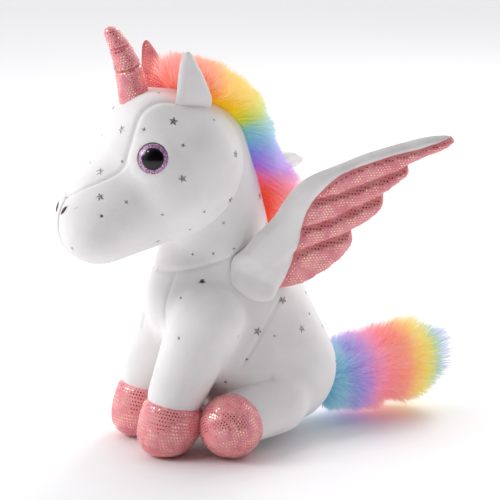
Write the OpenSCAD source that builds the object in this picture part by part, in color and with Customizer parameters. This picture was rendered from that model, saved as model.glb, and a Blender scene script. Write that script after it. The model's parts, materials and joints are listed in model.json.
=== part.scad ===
// Sitting plush winged unicorn: sewn covers over stuffing, with a soft joint
// at every seam that bends. Millimetres. The toy faces -Y, its left side is
// +X, and the origin is the middle of the seat on the surface it sits on.

/* [Fabric] */
// Thickness of the short-pile cover fabric
cover_t = 1.2; // [0.8:0.1:1.6]
// Room between a cover and the stuffing inside it
stuffing_gap = 0.4; // [0.2:0.1:1]
// Clearance left around every part that bends on its seam
joint_gap = 1; // [0.6:0.1:1.4]

/* [Head] */
// Height of the skull's centre above the surface
skull_z = 201; // [195:1:207]
// Radius of the round back of the head
skull_r = 53; // [50:1:55]
// Radius of the muzzle
muzzle_r = 29; // [26:1:31]
// Half width of the gusset over the forehead
gusset_half = 29; // [24:1:32]
// Radius of the safety eyes
eye_r = 11; // [9:0.5:12]
// Height of the horn above its base
horn_h = 52; // [40:1:54]
// Radius of the horn at its base
horn_r = 10.5; // [8:0.5:11.5]

/* [Body] */
// Radius of the neck's round top, which the head nods on
neck_r = 38; // [35:1:39]
// Half width of the seat
seat_half_w = 49; // [47:1:52]
// Half depth of the seat, front to back
seat_half_d = 52; // [50:1:55]

/* [Limbs] */
// Radius of a hoof
hoof_r = 22.4; // [20:0.2:22.6]
// Radius of a front leg at the shoulder
shoulder_r = 25.5; // [23:0.5:26]
// Radius of a hind leg at the hip
hip_r = 26; // [24:0.5:27]

/* [Wings and tail] */
// Thickness of a wing
wing_t = 10; // [8:0.5:11]
// Outward tilt of the left wing at rest, degrees
left_wing_tilt = 18; // [14:1:30]
// Outward tilt of the right wing at rest, degrees
right_wing_tilt = 40; // [30:1:45]
// Slope of the left wing's root, down towards the tail, degrees
left_wing_slope = 33; // [28:1:48]
// Slope of the right wing's root, degrees
right_wing_slope = 45; // [28:1:48]
// Radius of the long-pile tail
tail_r = 25; // [20:1:26]
// Length of the tail from its root
tail_len = 108; // [90:1:110]

/* [Hidden] */
$fn = 32;
ball_fn = 24;
big = 400;

// Pivots of the soft joints
neck_pivot = [0, -38, 158];
horn_pivot = [0, -98, 250];
shoulder_pivot = [28, -57, 96];
hip_pivot = [31, -7, 33];
wing_pivot = [37, -26, 122];
tail_pivot = [0, 44, 27];
ear_pivot = [30, -66, 250];

// Head shape: [x, y, z, radius] of the balls that its cover is drawn over
skull = [0, -72, skull_z];
muzzle = [0, -126, 166];
head_balls = [
    [0, skull[1], skull_z, skull_r],
    [14, -89, skull_z + 30, skull_r - 29],
    [-14, -89, skull_z + 30, skull_r - 29],
    [13, -66, skull_z + 8, skull_r - 12],
    [-13, -66, skull_z + 8, skull_r - 12],
    [3, muzzle[1], muzzle[2], muzzle_r],
    [-3, muzzle[1], muzzle[2], muzzle_r]
];
gusset_nose_half = 9;
gusset_low_z = 172;
nape_y = -24;

// Body shape
neck_squash = 0.87;
neck_gap = 0.6;
chest_balls = [[0, -42, 136, 31], [0, -54, 100, 36], [0, -12, 100, 41]];
seat_balls = [
    [0, -50, 96, 33], [0, -12, 96, 41],
    [seat_half_w - 44, seat_half_d - 44, 46, 44], [44 - seat_half_w, seat_half_d - 44, 46, 44],
    [seat_half_w - 44, 44 - seat_half_d, 46, 44], [44 - seat_half_w, 44 - seat_half_d, 46, 44]
];
chest_gusset_half = 14;
base_h = 5;
base_half_w = 26;
base_half_d = 30;

// Limbs
front_hoof_at = [25, -87, 0];
hoof_h = 22.5;
hoof_top_angle = 36;
front_ankle = [25, -84, hoof_h * (1 + sin(hoof_top_angle))];
front_ankle_r = 19.8;
front_swing = [0, -19, 12];
sole_h = 7;
hind_hoof = [49, -48, hoof_r];
hind_ankle_back = 13;
hind_ankle_r = 18.5;
hind_splay = [14, 8, 0];

// Wings: outlines in the wing's own plane, [along the root, up the arm]
wing_root_len = 44;
wing_root_r = 5.5;
wing_groove_r = 10.5;
wing_groove_from = -27;
wing_groove_to = 39;
arm_outer = [[-20, 2], [-20, 30], [-17, 45], [-19, 70], [-15, 85], [-4, 100], [10, 121], [34, 148], [48, 160], [56, 162]];
arm_inner = [[38, 143], [24, 128], [6, 105], [-1, 90], [-2, 64], [9, 40], [14, 24], [19, 2]];
feather_edge = [[57, 158], [40, 128], [43, 121], [39, 102], [44, 88], [37, 68], [44, 56], [40, 30], [30, 12], [21, 3]];

// Ear: outline from its base line up
ear_w = 27;
ear_h = 34;
ear_tip = -7;
ear_t = 6;
ear_lean = 8;

function lerp(a, b, t) = a + (b - a) * t;
function rim(r, from, to, step) = [for (a = [from:step:to]) r * [cos(a), sin(a)]];
function reversed(list) = [for (i = [len(list) - 1:-1:0]) list[i]];
// A hoof's side, from the middle of its flat sole up to the ankle seam
function hoof_side(r, half_h, top) =
    [for (a = [-90:9:top]) [r * pow(cos(a), 0.6), half_h * (1 + sin(a))]];

// Balls drawn together as one smooth form, all shrunk by inset
module drawn_over(balls, inset = 0) {
    hull()
        for (b = balls)
            translate([b[0], b[1], b[2]]) sphere(b[3] - inset, $fn = ball_fn);
}

module mirrored(side) {
    mirror([side < 0 ? 1 : 0, 0, 0]) children();
}

// ---------------------------------------------------------------- head

module neck_ball(r) {
    translate(neck_pivot) scale([neck_squash, 1, 1]) sphere(r, $fn = 48);
}

module ear_root(r) {
    translate(ear_pivot) rotate([90, 0, 0]) cylinder(h = ear_w + 2 * (r - ear_t / 2), r = r, center = true);
}

// Frame of a safety eye: +Z points out of the head, Z = 0 is the back of its lens
module at_eye(side) {
    mirrored(side)
        translate([43, -102.5, 215]) rotate([0, 0, -36]) rotate([0, 78, 0]) children();
}

module eye_pocket(side) {
    at_eye(side) translate([0, 0, -9]) cylinder(h = 30, r = eye_r + 0.2);
}

// What is cut out of the head: the neck's ball, horn and ear roots and both eyes
module head_hollows(gap) {
    neck_ball(neck_r + neck_gap + gap);
    translate(horn_pivot) sphere(horn_r + gap);
    for (side = [-1, 1]) {
        mirrored(side) ear_root(ear_t / 2 + gap);
        eye_pocket(side);
    }
}

module head_shell() {
    difference() {
        drawn_over(head_balls);
        drawn_over(head_balls, cover_t);
        head_hollows(joint_gap);
    }
}

// The forehead strip, wide over the crown and narrow at the nose
module gusset_zone() {
    translate([0, 0, gusset_low_z])
        linear_extrude(big)
            polygon([
                [-gusset_nose_half, muzzle[1] - big / 8], [gusset_nose_half, muzzle[1] - big / 8],
                [gusset_half, -104], [gusset_half, nape_y - 12], [6, big / 4],
                [-6, big / 4], [-gusset_half, nape_y - 12], [-gusset_half, -104]
            ]);
}

module head_side(side) {
    intersection() {
        difference() {
            head_shell();
            gusset_zone();
        }
        translate([side * big / 2, 0, 0]) cube([big, big * 2, big * 2], center = true);
    }
}

module head_side_left() { color("whitesmoke") head_side(1); }
module head_side_right() { color("whitesmoke") head_side(-1); }

module head_gusset() {
    color("white") intersection() {
        head_shell();
        gusset_zone();
    }
}

module head_stuffing() {
    color("ivory") difference() {
        drawn_over(head_balls, cover_t + stuffing_gap);
        head_hollows(joint_gap + stuffing_gap);
    }
}

// ---------------------------------------------------------------- eyes

lens_h = 5;
shank_r = 2.2;

module eye_lens(side) {
    lens_ball = (eye_r * eye_r + lens_h * lens_h) / (2 * lens_h);
    at_eye(side) intersection() {
        translate([0, 0, lens_h - lens_ball]) sphere(lens_ball, $fn = 64);
        cylinder(h = lens_h, r = eye_r);
    }
}

module eye_iris(side) {
    at_eye(side) {
        translate([0, 0, -1]) cylinder(h = 1, r = eye_r);
        translate([0, 0, -8.5]) cylinder(h = 8, r = shank_r);
    }
}

module eye_washer(side) {
    at_eye(side) translate([0, 0, -7]) difference() {
        cylinder(h = 1.5, r = eye_r - 3);
        translate([0, 0, -1]) cylinder(h = 4, r = shank_r + 0.1);
    }
}

module eye_left_lens() { color("black") eye_lens(1); }
module eye_left_iris() { color("mediumpurple") eye_iris(1); }
module eye_left_washer() { color("ghostwhite") eye_washer(1); }
module eye_right_lens() { color("black") eye_lens(-1); }
module eye_right_iris() { color("mediumpurple") eye_iris(-1); }
module eye_right_washer() { color("ghostwhite") eye_washer(-1); }

// Satin stitch on the muzzle, a leaf 10 mm long lying on the cover
module nostril(side) {
    mirrored(side) difference() {
        translate([9, -150, 179]) rotate([-38, 0, 0]) scale([1, 1.4, 3]) sphere(1.9);
        drawn_over(head_balls);
    }
}

module nostril_left() { color("saddlebrown") nostril(1); }
module nostril_right() { color("saddlebrown") nostril(-1); }

// ---------------------------------------------------------------- ears

// Leaf outline with a broad base, sewn along Y: its tip stands over the front edge
module ear_outline() {
    polygon(concat(
        [for (t = [0:0.15:0.9]) [ear_tip - (ear_tip + ear_w / 2) * pow(cos(90 * t), 0.5), ear_h * t]],
        [[ear_tip, ear_h]],
        [for (t = [0.9:-0.15:0]) [ear_tip + (ear_w / 2 - ear_tip) * pow(cos(90 * t), 0.8), ear_h * t]]
    ));
}

// One layer of an ear, from z0 to z1 through its thickness, +Z outwards
module ear_layer(side, z0, z1) {
    mirrored(side)
        translate(ear_pivot) rotate([0, ear_lean, 0]) rotate([90, 0, 90])
            translate([0, 0, z0]) linear_extrude(z1 - z0) ear_outline();
}

module ear_back(side) {
    ear_layer(side, 0, ear_t / 2);
    mirrored(side) ear_root(ear_t / 2);
}

module ear_lining(side) {
    difference() {
        ear_layer(side, -ear_t / 2, 0);
        mirrored(side) ear_root(ear_t / 2);
    }
}

module ear_left_back() { color("white") ear_back(1); }
module ear_left_lining() { color("lightpink") ear_lining(1); }
module ear_right_back() { color("white") ear_back(-1); }
module ear_right_lining() { color("lightpink") ear_lining(-1); }

// ---------------------------------------------------------------- horn

horn_lean = 20;
horn_tip_r = 4;

// Radius of the horn a share t of the way up: nearly straight, then rounding in
function horn_r_at(t) = lerp(horn_r, horn_tip_r, pow(t, 2));

// Round-ended cone with its base ball on the pivot, shrunk by inset
module horn_form(inset) {
    translate(horn_pivot) rotate([horn_lean, 0, 0])
        rotate_extrude($fn = 48)
            polygon(concat(
                [for (a = [-90:10:0]) (horn_r - inset) * [cos(a), sin(a)]],
                [for (t = [0.2:0.2:0.8]) [horn_r_at(t) - inset, horn_h * t]],
                [for (a = [10:10:90])
                    [0, horn_h - horn_tip_r] + (horn_tip_r - inset) * [cos(a), sin(a)]]
            ));
}

module horn_cover() {
    color("salmon") difference() {
        horn_form(0);
        horn_form(cover_t / 2);
    }
}

module horn_stuffing() { color("ivory") horn_form(cover_t / 2 + stuffing_gap / 2); }

// Two windings of sewing thread round the horn
module horn_thread() {
    color("mistyrose") difference() {
        translate(horn_pivot) rotate([horn_lean, 0, 0])
            for (t = [0.4, 0.7])
                translate([0, 0, horn_h * t])
                    cylinder(h = 0.8, r = horn_r_at(t) + 0.6);
        horn_form(0);
    }
}

// ---------------------------------------------------------------- mane

mane_half_w = 12;
// The mane is parted in two at the nape, on rays from the neck's pivot
mane_head_from = 45;
mane_neck_to = 34;
mane_neck_from = -10;

// Upright slab of a drawing made in the Y-Z plane
module upright_slab(half_w) {
    translate([-half_w, 0, 0]) rotate([90, 0, 90]) linear_extrude(2 * half_w) children();
}

module ray_wedge(from, to) {
    translate([neck_pivot[1], neck_pivot[2]])
        polygon(concat([[0, 0]], rim(big / 2, from, to, (to - from) / 6)));
}

// Fur down the head, lying on the skull with its pile growing longer to the nape
module mane_head_fur() {
    color("coral") difference() {
        upright_slab(mane_half_w) intersection() {
            translate([skull[1], skull_z])
                polygon(concat(
                    [for (a = [-20:10:96]) (skull_r + 26 + (96 - a) * 0.12) * [cos(a), sin(a)]],
                    reversed(rim(skull_r - 6, -20, 96, 10))
                ));
            ray_wedge(mane_head_from, 179);
        }
        drawn_over(head_balls);
        neck_ball(neck_r + neck_gap + joint_gap + 0.5);
    }
}

// Fur down the back of the neck, ending in a point
module mane_neck_fur() {
    color("orchid") difference() {
        upright_slab(mane_half_w) intersection() {
            polygon([[-30, 145], [5, 150], [20, 165], [27, 186], [20, 215], [-30, 190]]);
            ray_wedge(mane_neck_from, mane_neck_to);
        }
        body_form(0);
    }
}

// ---------------------------------------------------------------- body

module body_form(inset) {
    neck_ball(neck_r - inset);
    drawn_over(chest_balls, inset);
    drawn_over(seat_balls, inset);
}

// Room that a swinging front leg sweeps through
module shoulder_hollow(side, gap) {
    mirrored(side) drawn_over([
        concat(shoulder_pivot, shoulder_r),
        concat(front_ankle, front_ankle_r),
        concat(front_ankle + front_swing, front_ankle_r)
    ], -gap);
}

// Room that a splaying hind leg sweeps through
module hip_hollow(side, gap) {
    mirrored(side) drawn_over([
        concat(hip_pivot, hip_r),
        concat(hind_hoof, hoof_r),
        concat(hind_hoof + hind_splay, hoof_r)
    ], -gap);
}

// The line that a wing is sewn on: +Y runs down along it towards the tail
module at_wing_root(side) {
    mirrored(side)
        translate(wing_pivot) rotate([side > 0 ? -left_wing_slope : -right_wing_slope, 0, 0]) children();
}

module wing_root(side, r) {
    at_wing_root(side) rotate([90, 0, 0])
        cylinder(h = wing_root_len + 2 * (r - wing_root_r), r = r, center = true);
}

// Room beside the body for a wing that is pressed inward
module wing_groove(side, gap) {
    at_wing_root(side) translate([0, wing_groove_to, 0]) rotate([90, 0, 0])
        cylinder(h = wing_groove_to - wing_groove_from, r = wing_groove_r + gap);
}

module body_hollows(gap) {
    for (side = [-1, 1]) {
        shoulder_hollow(side, gap);
        hip_hollow(side, gap);
        wing_groove(side, gap);
    }
    translate(tail_pivot) sphere(tail_ball_r + 2 + gap);
}

module body_shell() {
    difference() {
        body_form(0);
        body_form(cover_t);
        body_hollows(joint_gap);
    }
}

module chest_zone() {
    translate([-chest_gusset_half, -big - 38, base_h]) cube([2 * chest_gusset_half, big, 138 - base_h]);
}

module body_side(side) {
    intersection() {
        difference() {
            body_shell();
            chest_zone();
        }
        translate([side > 0 ? 0 : -big, -big / 2, base_h]) cube(big);
    }
}

module body_side_left() { color("whitesmoke") body_side(1); }
module body_side_right() { color("whitesmoke") body_side(-1); }

module chest_gusset() {
    color("white") intersection() {
        body_shell();
        chest_zone();
    }
}

// Stiffened oval panel that the body sits on
module seat_base() {
    color("white") linear_extrude(base_h)
        polygon([for (a = [0:12:348]) [base_half_w * cos(a), base_half_d * sin(a)]]);
}

pellet_bag_at = [0, 0, 70];

module pellet_bag_form(inset) {
    translate(pellet_bag_at) rotate_extrude($fn = 48)
        intersection() {
            scale([1, 0.4]) circle(28 - inset);
            translate([0, -40]) square([60, 80]);
        }
}

module body_stuffing() {
    color("ivory") difference() {
        body_form(cover_t + stuffing_gap);
        cube([big, big, 2 * (base_h + stuffing_gap)], center = true);
        body_hollows(joint_gap + cover_t + stuffing_gap);
        pellet_bag_form(-stuffing_gap);
    }
}

// A sewn pouch of plastic pellets, which keeps the toy sitting
module pellet_bag() { color("beige") pellet_bag_form(0); }

// ---------------------------------------------------------------- front legs

module front_leg_form(side, inset) {
    mirrored(side) hull() {
        translate(shoulder_pivot) sphere(shoulder_r - inset, $fn = ball_fn);
        translate(front_ankle) cylinder(h = 1, r = front_ankle_r - inset, $fn = ball_fn);
    }
}

// rise carries the form on up through the ankle, which leaves a cover open there
module front_hoof_form(side, inset, rise = 0) {
    top = (hoof_h - inset) * (1 + sin(hoof_top_angle)) + rise;
    top_r = (hoof_r - inset) * pow(cos(hoof_top_angle), 0.6);
    mirrored(side) translate(front_hoof_at + [0, 0, inset])
        rotate_extrude($fn = 48)
            polygon(concat(
                hoof_side(hoof_r - inset, hoof_h - inset, hoof_top_angle),
                [[top_r, top], [0, top]]
            ));
}

module front_hoof_shell(side) {
    difference() {
        front_hoof_form(side, 0);
        front_hoof_form(side, cover_t, 3);
    }
}

module above(z) { translate([-big / 2, -big / 2, z]) cube(big); }

module front_leg_cover(side) {
    difference() {
        front_leg_form(side, 0);
        front_leg_form(side, cover_t);
    }
}

module front_hoof_cover(side) {
    intersection() {
        front_hoof_shell(side);
        above(sole_h);
    }
}

module front_sole(side) {
    difference() {
        front_hoof_shell(side);
        above(sole_h);
    }
}

module front_leg_stuffing(side) {
    front_leg_form(side, cover_t + stuffing_gap);
    front_hoof_form(side, cover_t + stuffing_gap);
    mirrored(side) translate(front_ankle - [0, 0, 6]) cylinder(h = 12, r = front_ankle_r - 6);
}

module front_leg_left_cover() { color("whitesmoke") front_leg_cover(1); }
module front_hoof_left_cover() { color("lightcoral") front_hoof_cover(1); }
module front_sole_left() { color("salmon") front_sole(1); }
module front_leg_left_stuffing() { color("ivory") front_leg_stuffing(1); }
module front_leg_right_cover() { color("whitesmoke") front_leg_cover(-1); }
module front_hoof_right_cover() { color("lightcoral") front_hoof_cover(-1); }
module front_sole_right() { color("salmon") front_sole(-1); }
module front_leg_right_stuffing() { color("ivory") front_leg_stuffing(-1); }

// ---------------------------------------------------------------- hind legs

hind_run = hip_pivot - hind_hoof;
hind_dir = hind_run / norm(hind_run);
hind_turn = atan2(hind_dir[1], hind_dir[0]);
hind_rise = acos(hind_dir[2]);

module hind_leg_form(side, inset) {
    mirrored(side) hull() {
        translate(hip_pivot) sphere(hip_r - inset, $fn = ball_fn);
        translate(hind_hoof + hind_dir * hind_ankle_back) sphere(hind_ankle_r - inset, $fn = ball_fn);
    }
}

// Everything from the ankle seam back to the hip
module behind_ankle(side) {
    mirrored(side) translate(hind_hoof) rotate([0, 0, hind_turn]) rotate([0, hind_rise, 0])
        translate([-big / 2, -big / 2, hind_ankle_back]) cube(big);
}

module hind_hoof_form(side, inset) {
    mirrored(side) translate(hind_hoof) sphere(hoof_r - inset, $fn = 48);
}

module hind_leg_cover(side) {
    intersection() {
        difference() {
            hind_leg_form(side, 0);
            hind_leg_form(side, cover_t);
        }
        behind_ankle(side);
    }
}

module hind_hoof_shell(side) {
    difference() {
        hind_hoof_form(side, 0);
        hind_hoof_form(side, cover_t);
        behind_ankle(side);
    }
}

module hind_hoof_cover(side) { intersection() { hind_hoof_shell(side); above(sole_h); } }
module hind_sole(side) { difference() { hind_hoof_shell(side); above(sole_h); } }

module hind_leg_stuffing(side) {
    difference() {
        hind_hoof_form(side, cover_t + stuffing_gap);
        behind_ankle(side);
    }
    intersection() {
        hind_leg_form(side, cover_t + stuffing_gap);
        behind_ankle(side);
    }
}

module hind_leg_left_cover() { color("whitesmoke") hind_leg_cover(1); }
module hind_hoof_left_cover() { color("lightcoral") hind_hoof_cover(1); }
module hind_sole_left() { color("salmon") hind_sole(1); }
module hind_leg_left_stuffing() { color("ivory") hind_leg_stuffing(1); }
module hind_leg_right_cover() { color("whitesmoke") hind_leg_cover(-1); }
module hind_hoof_right_cover() { color("lightcoral") hind_hoof_cover(-1); }
module hind_sole_right() { color("salmon") hind_sole(-1); }
module hind_leg_right_stuffing() { color("ivory") hind_leg_stuffing(-1); }

// ---------------------------------------------------------------- wings

module wing_layer(side, z0, z1) {
    at_wing_root(side)
        rotate([0, side > 0 ? left_wing_tilt : right_wing_tilt, 0]) rotate([90, 0, 90])
            translate([0, 0, z0]) linear_extrude(z1 - z0) children();
}

module arm_outline() { polygon(concat(arm_outer, arm_inner)); }
module feather_outline() { polygon(concat([arm_outer[9]], feather_edge, reversed(arm_inner))); }

module wing_back(side) {
    wing_layer(side, -wing_t / 2, cover_t - wing_t / 2) {
        arm_outline();
        feather_outline();
    }
    wing_root(side, wing_root_r);
}

module wing_front(side) { wing_layer(side, wing_t / 2 - cover_t, wing_t / 2) children(); }

module wing_arm(side) {
    difference() {
        wing_front(side) arm_outline();
        wing_root(side, wing_root_r);
    }
}

module wing_feathers(side) {
    difference() {
        wing_front(side) feather_outline();
        wing_root(side, wing_root_r);
    }
}

module wing_filling(side) {
    difference() {
        wing_layer(side, cover_t - wing_t / 2, wing_t / 2 - cover_t) {
            arm_outline();
            feather_outline();
        }
        wing_root(side, wing_root_r);
    }
}

module wing_left_back() { color("white") wing_back(1); }
module wing_left_arm() { color("whitesmoke") wing_arm(1); }
module wing_left_feathers() { color("lightcoral") wing_feathers(1); }
module wing_left_filling() { color("ivory") wing_filling(1); }
module wing_right_back() { color("white") wing_back(-1); }
module wing_right_arm() { color("whitesmoke") wing_arm(-1); }
module wing_right_feathers() { color("lightcoral") wing_feathers(-1); }
module wing_right_filling() { color("ivory") wing_filling(-1); }

// ---------------------------------------------------------------- tail

tail_rise = 6;
tail_ball_r = 12;
tail_core_r = 10;
tail_core_len = 62;

module along_tail() {
    translate(tail_pivot) rotate([tail_rise - 90, 0, 0]) rotate_extrude($fn = 48) children();
}

module tail_core_outline(grow) {
    intersection() {
        union() {
            circle(tail_ball_r);
            square([tail_core_r + grow, tail_core_len]);
            translate([0, tail_core_len]) circle(tail_core_r + grow);
        }
        translate([0, -big / 2]) square([big, big]);
    }
}

// Stuffed tube that the long pile is sewn round
module tail_core() { color("lightsteelblue") along_tail() tail_core_outline(0); }

module tail_fur() {
    color("plum") along_tail() difference() {
        polygon([
            [0, 13], [12, 14], [tail_r - 5, 24], [tail_r - 1, 36], [tail_r, 54],
            [tail_r, tail_len - 22], [tail_r - 6, tail_len - 7], [8, tail_len], [0, tail_len]
        ]);
        tail_core_outline(0.2);
    }
}

head_side_left();
head_side_right();
head_gusset();
head_stuffing();
eye_left_lens();
eye_left_iris();
eye_left_washer();
eye_right_lens();
eye_right_iris();
eye_right_washer();
nostril_left();
nostril_right();
ear_left_back();
ear_left_lining();
ear_right_back();
ear_right_lining();
horn_cover();
horn_stuffing();
horn_thread();
mane_head_fur();
mane_neck_fur();
body_side_left();
body_side_right();
chest_gusset();
seat_base();
body_stuffing();
pellet_bag();
front_leg_left_cover();
front_hoof_left_cover();
front_sole_left();
front_leg_left_stuffing();
front_leg_right_cover();
front_hoof_right_cover();
front_sole_right();
front_leg_right_stuffing();
hind_leg_left_cover();
hind_hoof_left_cover();
hind_sole_left();
hind_leg_left_stuffing();
hind_leg_right_cover();
hind_hoof_right_cover();
hind_sole_right();
hind_leg_right_stuffing();
wing_left_back();
wing_left_arm();
wing_left_feathers();
wing_left_filling();
wing_right_back();
wing_right_arm();
wing_right_feathers();
wing_right_filling();
tail_core();
tail_fur();
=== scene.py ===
# %% [markdown]
# # A plush winged unicorn, step by step
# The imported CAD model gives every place, size and joint. This lesson builds the sewn toy
# around it: a skin of short-pile fabric drawn over stuffing, hooves, horn and wings of
# foil-dot cloth, domed eyes, and a mane and tail of long rainbow pile.

import json
import math
import random

import bmesh
import bpy
from mathutils import Matrix, Vector, noise
from mathutils.bvhtree import BVHTree
from mathutils.geometry import delaunay_2d_cdt


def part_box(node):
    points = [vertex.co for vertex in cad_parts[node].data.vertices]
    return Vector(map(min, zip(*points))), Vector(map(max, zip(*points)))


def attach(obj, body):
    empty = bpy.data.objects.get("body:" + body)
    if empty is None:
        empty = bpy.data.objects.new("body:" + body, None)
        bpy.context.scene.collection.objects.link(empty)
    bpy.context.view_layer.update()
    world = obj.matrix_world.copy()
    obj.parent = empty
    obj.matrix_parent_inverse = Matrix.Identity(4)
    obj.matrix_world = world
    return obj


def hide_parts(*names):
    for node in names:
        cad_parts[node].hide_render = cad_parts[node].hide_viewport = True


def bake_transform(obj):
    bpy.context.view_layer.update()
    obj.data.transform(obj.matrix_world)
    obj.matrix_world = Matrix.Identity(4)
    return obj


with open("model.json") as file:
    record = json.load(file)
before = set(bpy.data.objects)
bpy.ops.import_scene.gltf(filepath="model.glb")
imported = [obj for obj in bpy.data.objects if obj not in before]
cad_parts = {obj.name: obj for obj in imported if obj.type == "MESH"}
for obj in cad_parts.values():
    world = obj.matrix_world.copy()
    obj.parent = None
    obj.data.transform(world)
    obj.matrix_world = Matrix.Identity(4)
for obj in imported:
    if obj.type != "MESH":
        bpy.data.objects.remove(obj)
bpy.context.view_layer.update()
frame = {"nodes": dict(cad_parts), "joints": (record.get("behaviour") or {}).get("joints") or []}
joints = {joint["name"]: joint for joint in frame["joints"]}

# %% [markdown]
# Sizes are written in millimetres, because a maker thinks in them, and turned to metres in
# one place. Places are read from the frame: a joint's pivot, or a node's box.

# %% Units and places
MM = 0.001
SIDES = {"left": 1, "right": -1}


def mm(x, y, z):
    return Vector((x, y, z)) * MM


def pivot(joint):
    return Vector(joints[joint]["pos_m"])


def mirror_x(point, side):
    return Vector((side * point.x, point.y, point.z))


def on_left(point):
    """A point, or its twin when it is on the toy's right"""
    return Vector((abs(point.x), point.y, point.z))


neck = pivot("neck_nod")
shoulder = pivot("front_leg_left_swing")
hip = pivot("hind_leg_left_splay")
horn_root = pivot("horn_bend")
ear_root = pivot("ear_left_flop")
tail_root = pivot("tail_wag")
print("neck pivot at", tuple(round(value, 3) for value in neck))

# %% [markdown]
# The camera comes first: a long lens a good metre away, a little above the toy, looking at
# its front left. A long lens keeps the near hoof and the far one the same size.

# %% Camera
view_azimuth = math.radians(65)
view_elevation = math.radians(13)
view_distance = 1.3
view_width = 0.345
look_at = mm(41.7, -30, 145)
to_camera = Vector((
    math.sin(view_azimuth) * math.cos(view_elevation),
    -math.cos(view_azimuth) * math.cos(view_elevation),
    math.sin(view_elevation),
))
camera_data = bpy.data.cameras.new("studio_camera")
camera_data.sensor_width = 36
camera_data.lens = camera_data.sensor_width / view_width * view_distance
camera = bpy.data.objects.new("studio_camera", camera_data)
camera.location = look_at + to_camera * view_distance
camera.rotation_euler = to_camera.to_track_quat("Z", "Y").to_euler()
bpy.context.scene.collection.objects.link(camera)
bpy.context.scene.camera = camera
print(f"lens {camera_data.lens:.1f} mm")

# %% [markdown]
# Every node tree here, for a material or for Geometry Nodes, is a list of nodes fed by
# values or by other nodes' sockets. One small function adds a node that way. Colours are
# written as the hex codes a designer reads off a swatch, and turned to linear light once.

# %% Helpers for node trees and colours
def add_node(tree, kind, inputs=None, **settings):
    """Add a node; each input is a plain value or the socket that feeds it"""
    node = tree.nodes.new(kind)
    for name, value in settings.items():
        setattr(node, name, value)
    for name, value in (inputs or {}).items():
        if isinstance(value, bpy.types.NodeSocket):
            tree.links.new(value, node.inputs[name])
        else:
            node.inputs[name].default_value = value
    return node


def linear(code):
    """Linear RGBA of an sRGB hex colour such as F2A0A0"""
    channels = [int(code[i:i + 2], 16) / 255 for i in (0, 2, 4)]
    return [c / 12.92 if c <= 0.04045 else ((c + 0.055) / 1.055) ** 2.4 for c in channels] + [1]


def new_material(name):
    material = bpy.data.materials.new(name)
    material.use_nodes = True
    tree = material.node_tree
    shader = tree.nodes["Principled BSDF"]
    where = add_node(tree, "ShaderNodeTexCoord").outputs["Object"]
    return material, tree, shader, where


def set_shader(shader, **values):
    """Set the shader's own sockets; an underscore stands for the space in a socket's name"""
    for name, value in values.items():
        shader.inputs[name.replace("_", " ")].default_value = value


def grain(tree, where, size_mm, detail=2.0):
    """Noise whose lumps are about size_mm across"""
    return add_node(tree, "ShaderNodeTexNoise", {
        "Vector": where, "Scale": 1 / (size_mm * MM), "Detail": detail,
    })


def ramp(tree, factor, stops):
    """Colour ramp through (place, hex colour) stops"""
    node = add_node(tree, "ShaderNodeValToRGB", {"Fac": factor})
    marks = node.color_ramp.elements
    while len(marks) < len(stops):
        marks.new(0.5)
    for mark, (place, code) in zip(marks, stops):
        mark.position = place
        mark.color = linear(code)
    return node.outputs["Color"]


def mixed(tree, factor, low, high):
    """Mix of two colours; a Mix node's colour sockets share names, so they go by number"""
    node = add_node(tree, "ShaderNodeMix", {"Factor": factor, 6: low, 7: high}, data_type="RGBA")
    return node.outputs[2]


def maths(tree, operation, *values):
    return add_node(tree, "ShaderNodeMath", dict(enumerate(values)), operation=operation).outputs[0]


def vector_math(tree, operation, *values, scale=None, output=0):
    inputs = dict(enumerate(values))
    if scale is not None:
        inputs["Scale"] = scale
    return add_node(tree, "ShaderNodeVectorMath", inputs, operation=operation).outputs[output]


def bump(tree, shader, height, depth_mm, strength=1.0):
    node = add_node(tree, "ShaderNodeBump", {
        "Height": height, "Distance": depth_mm * MM, "Strength": strength,
    })
    tree.links.new(node.outputs["Normal"], shader.inputs["Normal"])


# %% [markdown]
# **Velboa** is a warp-knitted polyester with a 1 to 2 mm pile, sheared flat. To the eye it
# is matt white with a soft edge glow, which is sheen, and a grain of pile tufts under half
# a millimetre, drawn here at 0.7 mm so that it shows. Big faint patches are the nap lying
# this way and that.

# %% Velboa
def make_velboa():
    material, tree, shader, where = new_material("velboa_white_sheared")
    nap = grain(tree, where, 26, 3).outputs["Fac"]
    colour = ramp(tree, nap, [(0.3, "F1EFEF"), (0.7, "FAF9F8")])
    tree.links.new(colour, shader.inputs["Base Color"])
    set_shader(shader, Roughness=0.9, Specular_IOR_Level=0.25,
               Sheen_Weight=0.35, Sheen_Roughness=0.45)
    tuft = grain(tree, where, 0.7, 3).outputs["Fac"]
    bump(tree, shader, tuft, 0.35, 0.5)
    return material


velboa = make_velboa()

# %% [markdown]
# **Foil-dot cloth** is a coral polyester satin knit, with round foil dots hot-stamped on it
# in a honeycomb 2.2 mm apart. The ground has a close knit grain and a satin sheen; the dots
# are real pieces, made later, and so need a finish of their own: **aluminised foil**, which
# is a mirror with a little haze, tinted rose and gold by its lacquer.

# %% Foil-dot cloth and foil
def make_coral_knit():
    material, tree, shader, where = new_material("coral_satin_knit")
    patches = grain(tree, where, 14, 2).outputs["Fac"]
    colour = ramp(tree, patches, [(0.3, "F48C90"), (0.7, "FBA6A6")])
    tree.links.new(colour, shader.inputs["Base Color"])
    set_shader(shader, Roughness=0.55, Specular_IOR_Level=0.4,
               Sheen_Weight=0.3, Sheen_Roughness=0.4)
    knit = grain(tree, where, 0.5, 1).outputs["Fac"]
    bump(tree, shader, knit, 0.2, 0.6)
    return material


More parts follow.
